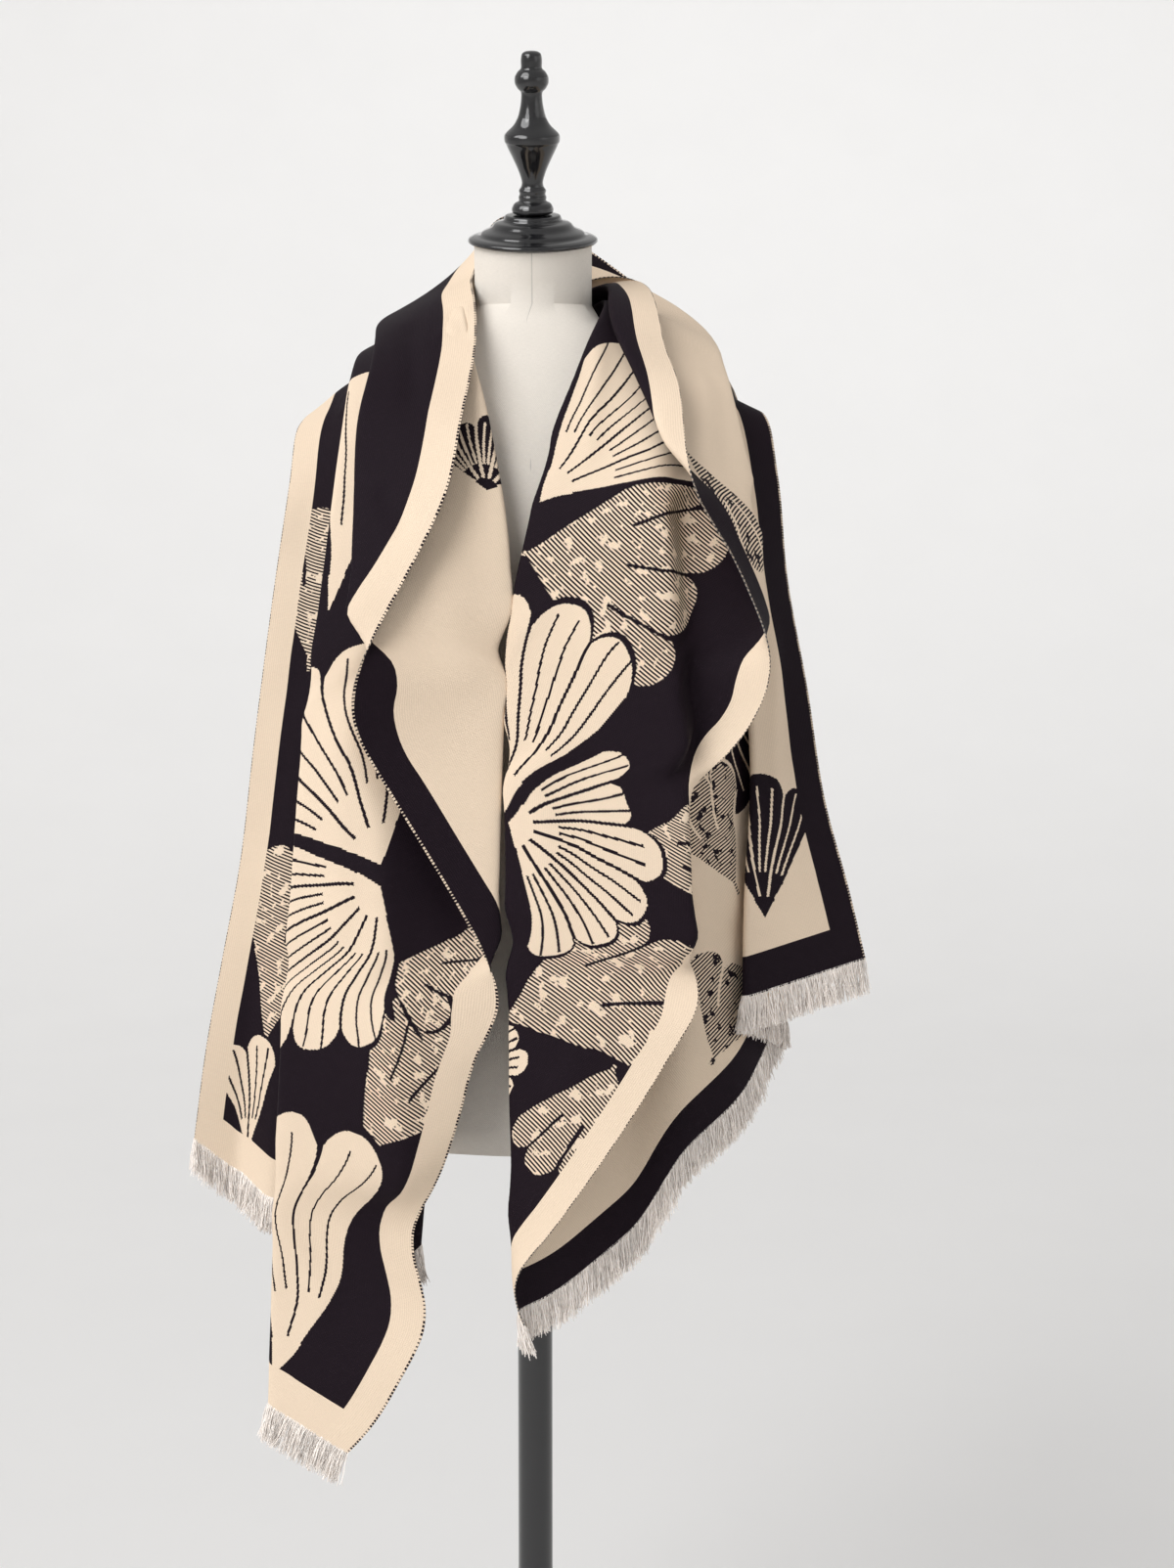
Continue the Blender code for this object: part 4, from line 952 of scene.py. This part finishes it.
def leaf_layer(graph, cloth, ground, leaves):
    """One layer of leaves over the ground: finds the leaf that a place may lie on, then draws it."""
    seat, build = NO_LEAF
    for across, along_cloth, turn, size, half_angle, yarn in leaves:
        turn, half_angle, size = math.radians(turn), math.radians(half_angle), size * CM
        way = Vector((math.sin(turn), math.cos(turn), 0.0))
        base = Vector((across, along_cloth, 0.0)) * CM
        wide = half_angle > 0.25 * math.pi
        middle = math.cos(half_angle) if wide else 0.5 / math.cos(half_angle)
        reach = math.sin(half_angle) if wide else middle
        distance = graph.vector("DISTANCE", cloth, base + middle * size * way, output=1)
        near = distance < (reach + LEAF_ROOM) * size
        seat = graph.blend(near, seat, (base.x, base.y, turn))
        build = graph.blend(near, build, (size, half_angle, yarn))
    x, y, _ = graph.parts(cloth)
    base_x, base_y, turn = graph.parts(seat)
    size, half_angle, yarn = graph.parts(build)
    x, y = x - base_x, y - base_y
    cosine, sine = turn.cos(), turn.sin()
    aside = (x * cosine - y * sine) / size
    onward = (x * sine + y * cosine) / size
    out = (aside * aside + onward * onward).sqrt()
    angle = graph.math("ARCTAN2", aside, onward) / half_angle
    lobes = (half_angle * LOBES_PER_RADIAN + 0.5).floor()
    lobe = (angle * 0.5 + 0.5) * lobes
    edge = abs(lobe.fraction() * 2.0 - 1.0)
    uneven = (lobe.floor() * 2.4 + turn * 5.0).sin() * LOBE_UNEVEN
    rim = (1.0 - angle * angle * RIM_FALL + uneven) * (1.0 - edge * edge * edge * RIM_FALL)
    spoke = half_angle * out * size / lobes
    slit = edge > SLIT_START - out * SLIT_FLARE
    main_vein = (1.0 - edge) * spoke < VEIN
    fine = (lobe * VEINS_PER_LOBE).fraction()
    fine_vein = (1.0 - abs(fine * 2.0 - 1.0)) * spoke * (1.0 / VEINS_PER_LOBE) < VEIN * FINE_VEIN
    veined = yarn > 0.5 * (GREY + CREAM)
    main_vein = main_vein * (out > MAIN_VEIN_FROM) * (veined + (out > GREY_VEIN_FROM))
    fine_vein = fine_vein * (out > FINE_VEINS[0]) * (out < FINE_VEINS[1]) * veined
    clear = (1.0 - slit) * (1.0 - main_vein) * (1.0 - fine_vein)
    leaf = (abs(angle) < 1.0) * (out < rim) * clear
    stem = abs(aside + onward * onward * STEM_BEND) * size < STEM_WIDTH
    stem = stem * (onward < STEM[1]) * (onward > STEM[0]) * (1.0 - veined)
    outline = (abs(angle) < 1.0 + OUTLINE[0]) * (out < rim + OUTLINE[1])
    return (ground * (1.0 - outline.most(stem))).most(leaf.most(stem) * yarn)


def woven_design():
    """The design as a node group: from a place on the flat cloth to how much cream yarn shows."""
    tree = bpy.data.node_groups.new("Woven design", "ShaderNodeTree")
    tree.interface.new_socket(name="Cloth", in_out="INPUT", socket_type="NodeSocketVector")
    tree.interface.new_socket(name="Cream", in_out="OUTPUT", socket_type="NodeSocketFloat")
    graph = Graph(tree)
    cloth = graph.node("NodeGroupInput")
    stepped = graph.vector("SNAP", cloth, (THREAD, THREAD, THREAD))
    across, lengthwise, from_hem = graph.parts(stepped)
    stepped = graph.vector("MULTIPLY", stepped, (1.0, 1.0, 0.0))
    drift = graph.vector("MULTIPLY", graph.offset(stepped, DRIFT_SCALE), (DRIFT, DRIFT, 0.0))
    place = graph.vector("ADD", stepped, drift)
    cream = graph.math("ADD", 0.0, 0.0)
    for leaves in LEAF_LAYERS:
        cream = leaf_layer(graph, place, cream, leaves)
    grey = (cream > 0.5 * GREY) * (cream < 0.5 * (GREY + CREAM))
    patch = graph.noise(stepped, PATCH_SCALE, 4.0) > PATCH_LEVEL
    drawn_across, drawn_along, _ = graph.parts(cloth)
    slant = ((drawn_across * HATCH_LEAN - drawn_along) * (1.0 / HATCH_PITCH)).fraction()
    hatch = slant < patch + HATCH_CREAM
    cream = cream * (1.0 - grey) + hatch * grey
    border = (across < BORDER).most(CLOTH_WIDTH - across < OUTER_BORDER).most(from_hem < END_BORDER)
    cream = cream.most(border)
    overcast = (lengthwise * (1.0 / OVERCAST)).fraction() < 0.5
    selvage = across.least(CLOTH_WIDTH - across) < SELVAGE
    cream = cream * (1.0 - selvage) + overcast * selvage
    out = tree.nodes.new("NodeGroupOutput")
    tree.links.new(cream.socket, out.inputs[0])
    return tree


# ---- materials ----
RIB_PITCH = 0.0017          # between the cloth's ribs
PICK_PITCH = 0.0012         # between the threads that cross them
STITCH_PITCH = 0.0036       # along the cut edge of the cloth
LINEN_PITCH = 0.0015        # of the form's linen
SLUBS = ((250.0, 2500.0, 0.0), (2500.0, 250.0, 0.0))    # to a metre, of the weft and of the warp
SEAM_PITCH = 0.004          # of the stitches that hold the form's seams,
STITCH_SHARE = 0.72         # and how much of it a stitch takes up
SEAM_LINE = 0.0005          # half widths of the dark line of a seam,
SEAM_STITCH = 0.0009        # of the stitches over it
SEAM_GROOVE = 0.0012        # and of the groove that it lies in


def waves(length, pitch):
    return (length * (2.0 * math.pi / pitch)).sin()


def cloth_material(name, design, dark, light, reverse):
    """One face of the cloth: the design in dark and cream yarn, ribbed, with a soft nap."""
    material, graph = material_graph(name, {"Specular IOR Level": 0.08, "Sheen Weight": 0.015,
                                            "Sheen Roughness": 0.4})
    cloth = graph.attribute("flat_cloth")
    cream = graph.node("ShaderNodeGroup", {"node_tree": design}, {0: cloth})
    if reverse:
        cream = 1.0 - cream
    across, lengthwise, _ = graph.parts(cloth)
    rib, pick = waves(across, RIB_PITCH), waves(lengthwise, PICK_PITCH)
    mottle = graph.noise(cloth, 900.0)
    tide = graph.noise(cloth, 9.0)
    tone = 0.86 + rib * 0.035 + pick * 0.02 + mottle * 0.16 + tide * 0.12
    graph.wire(graph.scaled(graph.tint(cream, dark, light), tone), "Base Color")
    graph.wire(0.62 + cream * 0.14 + mottle * 0.06, "Roughness")
    graph.relief(0.35, 0.0004, rib * 0.5 + pick * 0.35 + mottle + cream * 0.6)
    return material


def edge_material(dark, light):
    """The cut and overcast edge of the cloth, where both yarns show."""
    material, graph = material_graph("overcast edge", {"Roughness": 0.7, "Sheen Weight": 0.2})
    across, lengthwise, _ = graph.parts(graph.attribute("flat_cloth"))
    stitch = ((across + lengthwise) * (1.0 / STITCH_PITCH)).fraction() < 0.5
    graph.wire(graph.tint(stitch, dark, light), "Base Color")
    return material


def yarn_material(colour):
    """Silky loose yarn: each thread a little lighter or darker than the next."""
    material, graph = material_graph("silky yarn", {"Roughness": 0.36, "Sheen Weight": 0.35,
                                                    "Specular IOR Level": 0.7})
    shade = graph.attribute("thread_shade", output=2)
    tone = 0.66 + shade * 0.55 + graph.noise(graph.place(), 160.0) * 0.25
    graph.wire(graph.scaled(tuple(colour), tone), "Base Color")
    return material


def linen_material(colour):
    """Plain-woven natural linen with slubs, and stitched seams down the front, back and sides."""
    material, graph = material_graph("natural linen", {"Roughness": 0.85, "Sheen Weight": 0.15})
    wrap = graph.attribute("wrap")
    around, height, seam = graph.parts(wrap)
    weave = waves(around, LINEN_PITCH) * waves(height, LINEN_PITCH)
    slub, warp_slub = (graph.noise(graph.vector("MULTIPLY", wrap, scale), 1.0) for scale in SLUBS)
    stitch = (seam < SEAM_STITCH) * ((height * (1.0 / SEAM_PITCH)).fraction() < STITCH_SHARE)
    tone = 0.80 + weave * 0.09 + slub * 0.2 + warp_slub * 0.14 - (seam < SEAM_LINE) * 0.25
    graph.wire(graph.scaled(tuple(colour), tone), "Base Color")
    graph.relief(0.5, 0.0004, weave + slub + warp_slub - (seam < SEAM_GROOVE) * 2.0 + stitch * 0.8)
    return material


def lacquer_material(colour):
    """Glossy lacquer over turned wood, with faint ripples and a trace of dust."""
    material, graph = material_graph("black lacquer", {"Coat Weight": 0.6, "Coat Roughness": 0.05})
    place = graph.place()
    dust = graph.noise(place, 120.0, 4.0)
    graph.wire(graph.scaled(tuple(colour), 0.7 + dust * 0.8), "Base Color")
    graph.wire(0.08 + dust * 0.12, "Roughness")
    graph.relief(0.12, 0.0006, graph.noise(graph.vector("MULTIPLY", place, (40.0, 40.0, 160.0)), 1.0, 1.0))
    return material


# ---- the dress form and its stand ----
def rounded_profile(profile):
    """The profile with its corners cut twice, which rounds them; its ends stay."""
    points = np.array(profile, dtype=float)
    for _ in range(2):
        first = (1.0 - CORNER_CUT) * points[:-1] + CORNER_CUT * points[1:]
        second = CORNER_CUT * points[:-1] + (1.0 - CORNER_CUT) * points[1:]
        cut = np.stack((first, second), axis=1).reshape(-1, 2)
        points = np.concatenate((points[:1], cut[1:-1], points[-1:]))
    return points


def lathe(profile, sides):
    """A ring of points about the Z axis for each radius and height, and the walls between rings."""
    turns = [2.0 * math.pi * k / sides for k in range(sides)]
    points = [Vector((radius * math.cos(turn), radius * math.sin(turn), height))
              for radius, height in profile for turn in turns]
    walls = []
    for low in range(0, len(points) - sides, sides):
        for k in range(sides):
            j = (k + 1) % sides
            walls.append((low + k, low + j, low + sides + j, low + sides + k))
    return points, walls


def turned_piece(name, profile, placing, material):
    """A lathe-turned piece about the placing's own Z axis, closed at both poles."""
    sides = SMOOTH_SEGMENTS
    points, faces = lathe(profile[1:-1], sides)
    low, high, last = len(points), len(points) + 1, len(points) - sides
    points += [Vector((0.0, 0.0, height)) for _, height in (profile[0], profile[-1])]
    for k in range(sides):
        j = (k + 1) % sides
        faces += [(low, j, k), (high, last + k, last + j)]
    verts = [tuple(placing @ (point * CM)) for point in points]
    piece = mesh_piece(name, verts, faces, [material], name.replace("turned_", ""))
    piece.data.set_sharp_from_angle(angle=SHARP_ANGLE)


def linen_torso(material):
    """The padded torso and neck, with how far round and up each point lies for the weave."""
    rings = torso_rings(SMOOTH_SEGMENTS, TORSO_EASE)
    n = SMOOTH_SEGMENTS
    verts = np.array([[tuple(point) for point in ring] for ring in rings])
    around = np.linalg.norm(np.roll(verts, -1, axis=1) - verts, axis=2)
    run = np.concatenate((np.zeros((len(rings), 1)), np.cumsum(around, axis=1)[:, :-1]), axis=1)
    whole = around.sum(axis=1, keepdims=True)
    run = run - FRONT_SHARE * whole
    up = np.linalg.norm(np.diff(verts, axis=0), axis=2).mean(axis=1)
    up = np.concatenate(([0.0], np.cumsum(up)))[:, None] * np.ones((1, n))
    quarter = np.abs((run / whole * 4.0 + 0.5) % 1.0 - 0.5) * whole / 4.0
    index = np.arange(len(rings) * n).reshape(len(rings), n)
    after = np.roll(index, -1, axis=1)
    walls = np.stack((index[:-1], after[:-1], after[1:], index[1:]), axis=2).reshape(-1, 4)
    faces = walls.tolist() + [index[0, ::-1].tolist(), index[-1].tolist()]
    piece = mesh_piece("linen_torso", verts.reshape(-1, 3), faces, [material], "form_torso")
    piece.data.set_sharp_from_angle(angle=SHARP_ANGLE)
    carry(piece.data, "wrap", np.stack((run, up, quarter), axis=2))


def carry(mesh, name, vectors):
    """Gives each point of the mesh a vector of its own."""
    attribute = mesh.attributes.new(name, "FLOAT_VECTOR", "POINT")
    attribute.data.foreach_set("vector", vectors.ravel())


# ---- the fringe ----
THREAD_STATIONS = 6         # points along a thread
THREAD_SIDES = 3
WHOLE_TURN = 6.283
THREAD_BENDS = ((4.2, 0.045), (7.0, 0.02))      # each way: radians along the thread, and the swing
THREAD_TAPER = 0.55         # how much thinner the tip is than the root
SHORTEST_THREAD = 0.82      # against the longest
THREAD_ROOT = 0.0015        # how far inside the hem a thread starts
THREAD_SIDE = 0.3           # how far to the cloth's front or reverse, in its thicknesses
LOCK_SCALE = 110.0          # loose locks to a metre, roughly
LOCK_LEAN = 2.6             # how far they lean against a single thread
HANG = (0.55, 0.45)         # how far the fringe follows the cloth's way, and how far plumb


def thread_tree(material):
    """Geometry Nodes: a bent, tapering thread on each point of the hem, leaning its own way."""
    tree = bpy.data.node_groups.new("Fringe threads", "GeometryNodeTree")
    for name, kind, way in (("Geometry", "Geometry", "INPUT"), ("Length", "Float", "INPUT"),
                            ("Radius", "Float", "INPUT"), ("Spread", "Float", "INPUT"),
                            ("Seed", "Int", "INPUT"), ("Geometry", "Geometry", "OUTPUT")):
        tree.interface.new_socket(name=name, in_out=way, socket_type="NodeSocket" + kind)
    graph = Graph(tree)
    hem, length, radius, spread, seed = graph.outputs(graph.node("NodeGroupInput"))[:5]

    def geometry(kind, **sockets):
        return graph.node("GeometryNode" + kind, {}, {key.replace("_", " "): value
                                                      for key, value in sockets.items()})

    def chance(low, high, further):
        return graph.node("FunctionNodeRandomValue", {"data_type": "FLOAT"},
                          {2: low, 3: high, "Seed": seed + further}, 1)

    line = geometry("CurvePrimitiveLine", Start=(0, 0, 0), End=(0, 0, 1))
    line = geometry("ResampleCurve", Curve=line, Count=THREAD_STATIONS)
    share = geometry("SplineParameter")
    bends = {way: (share * radians).sin() * swing for way, (radians, swing) in enumerate(THREAD_BENDS)}
    line = geometry("SetPosition", Geometry=line, Offset=graph.node("ShaderNodeCombineXYZ", {}, bends))
    line = geometry("SetCurveRadius", Curve=line, Radius=1.0 - share * THREAD_TAPER)
    section = geometry("CurvePrimitiveCircle", Resolution=THREAD_SIDES, Radius=radius / length)
    thread = geometry("CurveToMesh", Curve=line, Profile_Curve=section, Fill_Caps=True)
    hang = graph.node("GeometryNodeInputNamedAttribute", {"data_type": "FLOAT_VECTOR"}, {"Name": "hang"})
    lock = graph.scaled(graph.offset(geometry("InputPosition"), LOCK_SCALE), spread * LOCK_LEAN)
    stray = graph.node("FunctionNodeRandomValue", {"data_type": "FLOAT_VECTOR"},
                       {"Min": (-1, -1, -1), "Max": (1, 1, 1), "Seed": seed})
    way = graph.vector("ADD", graph.vector("ADD", hang, lock), graph.scaled(stray, spread))
    turn = graph.node("FunctionNodeAlignRotationToVector", {"axis": "Z"}, {"Vector": way})
    roll = graph.node("FunctionNodeAxisAngleToRotation", {},
                      {"Axis": (0, 0, 1), "Angle": chance(0.0, WHOLE_TURN, 1.0)})
    turn = graph.node("FunctionNodeRotateRotation", {"rotation_space": "LOCAL"}, {0: turn, 1: roll})
    threads = geometry("InstanceOnPoints", Points=hem, Instance=thread, Rotation=turn,
                       Scale=chance(SHORTEST_THREAD, 1.0, 2.0) * length)
    threads = graph.node("GeometryNodeStoreNamedAttribute", {"data_type": "FLOAT", "domain": "INSTANCE"},
                         {"Geometry": threads, "Name": "thread_shade", "Value": chance(0.0, 1.0, 3.0)})
    threads = geometry("SetMaterial", Geometry=geometry("RealizeInstances", Geometry=threads),
                       Material=material)
    out = tree.nodes.new("NodeGroupOutput")
    tree.links.new(threads.socket, out.inputs[0])
    return tree


def fringe_piece(name, hem, below, normals, node, tree, count, inputs):
    """The fringe of one end: fine threads crowded along the hem, gathered into loose locks."""
    spots = np.linspace(0.0, len(hem) - 1.0, count)
    at = np.arange(len(hem))
    line, lower, out = (np.stack([np.interp(spots, at, row[:, k]) for k in range(3)], axis=1)
                        for row in (hem, below, normals))
    plumb = np.array((0.0, 0.0, -1.0))
    plumb = plumb - out * (out @ plumb)[:, None]
    hang = evened(unit(HANG[0] * unit(lower - line) + HANG[1] * plumb))
    side = np.where(np.arange(count) % 2, THREAD_SIDE, -THREAD_SIDE)[:, None]
    line = line - THREAD_ROOT * hang + out * side * SHELL_THICKNESS
    mesh = bpy.data.meshes.new(name + "_points")
    mesh.from_pydata(line.tolist(), [], [])
    carry(mesh, "hang", hang)
    roots = bpy.data.objects.new(name + "_points", mesh)
    bpy.context.collection.objects.link(roots)
    modifier = roots.modifiers.new("threads", "NODES")
    modifier.node_group = tree
    for item in tree.interface.items_tree:
        if item.in_out == "INPUT" and item.name in inputs:
            modifier[item.identifier] = inputs[item.name]
    bpy.context.view_layer.update()
    grown = bpy.data.meshes.new_from_object(roots.evaluated_get(bpy.context.evaluated_depsgraph_get()))
    bpy.data.objects.remove(roots, do_unlink=True)
    bpy.data.meshes.remove(mesh)
    grown.name = name
    return placed(name, grown, node)


# ---- settings ----
def colour(name, description, default):
    return bpy.props.FloatVectorProperty(name=name, description=description, subtype="COLOR", size=3,
                                         default=default)


def number(name, description, default, unit="NONE"):
    return bpy.props.FloatProperty(name=name, description=description, unit=unit, default=default)


class ScarfCloth(bpy.types.PropertyGroup):
    dark: colour("Dark yarn", "Colour of the dark yarn", (0.012, 0.007, 0.011))
    cream: colour("Cream yarn", "Colour of the cream yarn", (0.80, 0.65, 0.50))


class ScarfFringe(bpy.types.PropertyGroup):
    length: number("Length", "Length of the longest threads", 0.032, "LENGTH")
    radius: number("Radius", "Radius of a thread at its root", 0.00036, "LENGTH")
    spread: number("Spread", "How far the threads lean apart", 0.13)
    count: bpy.props.IntProperty(name="Threads", description="Threads along each end", default=3200)
    yarn: colour("Yarn", "Colour of the loose yarn", (1.0, 0.93, 0.87))


class ScarfForm(bpy.types.PropertyGroup):
    linen: colour("Linen", "Colour of the form's linen", (0.90, 0.84, 0.76))
    lacquer: colour("Lacquer", "Colour of the turned wood", (0.008, 0.008, 0.009))


class ScarfStage(bpy.types.PropertyGroup):
    ground: colour("Ground", "Colour of the floor and its sweep", (0.80, 0.795, 0.79))
    window: number("Window", "Strength of the broad light from the left", 2.3)
    key: number("Key light", "Power of the large soft light", 38.0, "POWER")
    fill: number("Fill light", "Power of the weaker light opposite", 5.0, "POWER")
    sky: number("Sky", "Strength of the light from all round", 0.5)


# ---- operators ----
class SCARF_OT_form(bpy.types.Operator):
    """Build the linen torso with its turned cap, finial, pole and base"""
    bl_idname = "scarf.build_form"
    bl_label = "Dress form"

    def execute(self, context):
        settings = context.scene.scarf_form
        linen_torso(linen_material(settings.linen))
        lacquer = lacquer_material(settings.lacquer)
        top = Matrix.Translation(NECK_TOP) @ Matrix.Rotation(NECK_TILT, 4, "X")
        top = top @ Matrix.Translation((0.0, 0.0, SEAM_GAP))
        pole = np.array(((0.0, POLE_FOOT), (POLE_RADIUS, POLE_FOOT), (POLE_RADIUS, POLE_TOP),
                         (0.0, POLE_TOP))) / CM
        floor = Matrix.Identity(4)
        turned_piece("turned_neck_cap", rounded_profile(CAP_PROFILE), top, lacquer)
        turned_piece("turned_finial", rounded_profile(FINIAL_PROFILE), top, lacquer)
        turned_piece("turned_pole", pole, floor, lacquer)
        turned_piece("turned_base", rounded_profile(BASE_PROFILE), floor, lacquer)
        return {"FINISHED"}


class SCARF_OT_cloth(bpy.types.Operator):
    """Drape the cloth: two falls of folds, and the gathered stretch round the nape, with fringes"""
    bl_idname = "scarf.drape_cloth"
    bl_label = "Cloth and fringe"

    def execute(self, context):
        settings = context.scene.scarf_cloth
        draped = softened(scarf_grid(FALL_ROWS, CLOTH_COLUMNS, TWIST_ROWS))
        places = refined(flat_places(draped), REFINE)[:, ::-1]
        whole = refined(draped, REFINE)[:, ::-1]
        normals = surface_normals(whole)
        whole = creased(whole, places, normals)
        normals = surface_normals(whole)
        dark, cream = tuple(settings.dark), tuple(settings.cream)
        design = woven_design()
        materials = [cloth_material("cloth front", design, dark, cream, False),
                     cloth_material("cloth reverse", design, dark, cream, True), edge_material(dark, cream)]
        hem = REFINE
        first, second = FALL_ROWS * REFINE, (FALL_ROWS + TWIST_ROWS - 1) * REFINE
        far_hem = len(whole) - 1 - REFINE
        stretches = (("cloth_long_fall", "scarf_front_long", hem, first),
                     ("cloth_nape", "scarf_neck_twist", first, second),
                     ("cloth_short_fall", "scarf_front_short", second, far_hem))
        for name, node, start, end in stretches:
            rows = slice(start, end + 1)
            cloth_shell(name, whole[rows], normals[rows], places[rows], materials, node)
        long_fringe, short_fringe = self.grow_fringes(context, whole, normals, hem, far_hem)
        return {"FINISHED"}

    def grow_fringes(self, context, whole, normals, hem, far_hem):
        settings = context.scene.scarf_fringe
        yarn = yarn_material(settings.yarn)
        tree = thread_tree(yarn)
        fringes = []
        for name, node, row, beyond, seed in (("threads_long", "fringe_long", hem, 0, 11),
                                              ("threads_short", "fringe_short", far_hem, -1, 23)):
            inputs = {"Length": settings.length, "Radius": settings.radius,
                      "Spread": settings.spread, "Seed": seed}
            fringes.append(fringe_piece(name, whole[row], whole[beyond], normals[row], node, tree,
                                        settings.count, inputs))
        return fringes


SWEEP_FLAT = 4.0            # radius of the floor before it curves up
SWEEP_RISE = 5.6
SWEEP_STEPS = 16
SWEEP_SIDES = 96
SWEEP_PAINTED_SHADE = 0.05          # painted shade: how much darker the sweep is painted to a metre towards the wearer's left,
SWEEP_PAINTED_TONES = (0.87, 1.19)  # and its darkest and lightest painted tone; towards the wearer's right it is painted lighter
LAMPS = (
    ("window light", "SUN", "window", (-3.4, -2.9, 3.9)),
    ("key light", "AREA", "key", (-1.9, -2.6, 2.5)),
    ("fill light", "AREA", "fill", (2.6, -2.2, 1.7)),
)
LAMP_AIM = Vector((0.0, 0.0, 1.1))
LAMP_SIZE = 2.0
WINDOW_WIDTH = math.radians(50.0)
SKY_COLOUR = (1.0, 0.99, 0.98, 1.0)
LENS, SENSOR = 72.0, 36.0   # in millimetres
CAMERA_PLACE = (0.045, -1.99, 1.18)
CAMERA_TURN = (math.radians(85.0), 0.0, 0.0)


class SCARF_OT_stage(bpy.types.Operator):
    """Set the pale sweep, the soft lights and the camera"""
    bl_idname = "scarf.set_stage"
    bl_label = "Stage"

    def execute(self, context):
        settings = context.scene.scarf_stage
        self.sweep(context, settings.ground)
        for name, kind, key, place in LAMPS:
            self.soft_light(context, name, kind, getattr(settings, key), place)
        world = bpy.data.worlds.new("pale room")
        context.scene.world = world
        world.use_nodes = True
        backdrop = world.node_tree.nodes["Background"]
        backdrop.inputs["Color"].default_value = SKY_COLOUR
        backdrop.inputs["Strength"].default_value = settings.sky
        lens = bpy.data.cameras.new("camera")
        lens.sensor_fit = "HORIZONTAL"
        lens.sensor_width = SENSOR
        lens.lens = LENS
        camera = bpy.data.objects.new("camera", lens)
        camera.location = CAMERA_PLACE
        camera.rotation_euler = CAMERA_TURN
        context.collection.objects.link(camera)
        context.scene.camera = camera
        context.scene.view_settings.view_transform = "Standard"
        return {"FINISHED"}

    def sweep(self, context, colour):
        """A round floor that curves up into a low wall all the way round, with painted shade towards the
        wearer's left and painted light towards the right.
        """
        material, graph = material_graph("pale sweep", {"Roughness": 0.9})
        place = graph.place()
        beside = graph.parts(place)[0]
        # painted shade and painted light: the colour darkens towards the wearer's left and lightens towards
        # the right, between the painted tones; the faint noise is a random mottle
        tone = (1.02 - beside * SWEEP_PAINTED_SHADE).least(SWEEP_PAINTED_TONES[1]).most(SWEEP_PAINTED_TONES[0])
        tone = tone * (0.985 + graph.noise(place, 3.0) * 0.03)
        graph.wire(graph.scaled(tuple(colour), tone), "Base Color")
        bends = [0.5 * math.pi * step / SWEEP_STEPS for step in range(SWEEP_STEPS + 1)]
        points, faces = lathe([(SWEEP_FLAT + SWEEP_RISE * math.sin(bend), SWEEP_RISE * (1.0 - math.cos(bend)))
                               for bend in bends], SWEEP_SIDES)
        faces += [(len(points), (k + 1) % SWEEP_SIDES, k) for k in range(SWEEP_SIDES)]
        points.append((0.0, 0.0, 0.0))
        mesh = bpy.data.meshes.new("sweep")
        mesh.from_pydata(points, [], faces)
        mesh.flip_normals()
        mesh.materials.append(material)
        mesh.shade_smooth()
        floor = bpy.data.objects.new("sweep", mesh)
        context.collection.objects.link(floor)
        return floor

    def soft_light(self, context, name, kind, strength, place):
        light = bpy.data.lights.new(name, kind)
        light.energy = strength
        if kind == "SUN":
            light.angle = WINDOW_WIDTH
        else:
            light.shape = "DISK"
            light.size = LAMP_SIZE
        lamp = bpy.data.objects.new(name, light)
        lamp.location = place
        lamp.rotation_euler = (LAMP_AIM - Vector(place)).to_track_quat("-Z", "Y").to_euler()
        context.collection.objects.link(lamp)


class SCARF_PT_panel(bpy.types.Panel):
    """Lists the pieces in the order in which they are built"""
    bl_idname = "SCARF_PT_panel"
    bl_label = "Blanket scarf"
    bl_space_type = "VIEW_3D"
    bl_region_type = "UI"
    bl_category = "Scarf"

    def draw(self, context):
        for name, group, operator in SETTINGS:
            settings = getattr(context.scene, name)
            for key in group.__annotations__:
                self.layout.prop(settings, key)
            if operator:
                self.layout.operator(operator)


SETTINGS = (
    # name in the scene, its settings, and the operator that the panel lists below them
    ("scarf_form", ScarfForm, "scarf.build_form"),
    ("scarf_cloth", ScarfCloth, None),
    ("scarf_fringe", ScarfFringe, "scarf.drape_cloth"),
    ("scarf_stage", ScarfStage, "scarf.set_stage"),
)
CLASSES = (SCARF_OT_form, SCARF_OT_cloth, SCARF_OT_stage, SCARF_PT_panel)


def register():
    for name, group, _ in SETTINGS:
        bpy.utils.register_class(group)
        setattr(bpy.types.Scene, name, bpy.props.PointerProperty(type=group))
    for cls in CLASSES:
        bpy.utils.register_class(cls)


def unregister():
    for cls in reversed(CLASSES):
        bpy.utils.unregister_class(cls)
    for name, group, _ in SETTINGS:
        delattr(bpy.types.Scene, name)
        bpy.utils.unregister_class(group)


def main():
    register()
    bpy.ops.scarf.build_form()
    bpy.ops.scarf.drape_cloth()
    bpy.ops.scarf.set_stage()


if __name__ == "__main__":
    main()
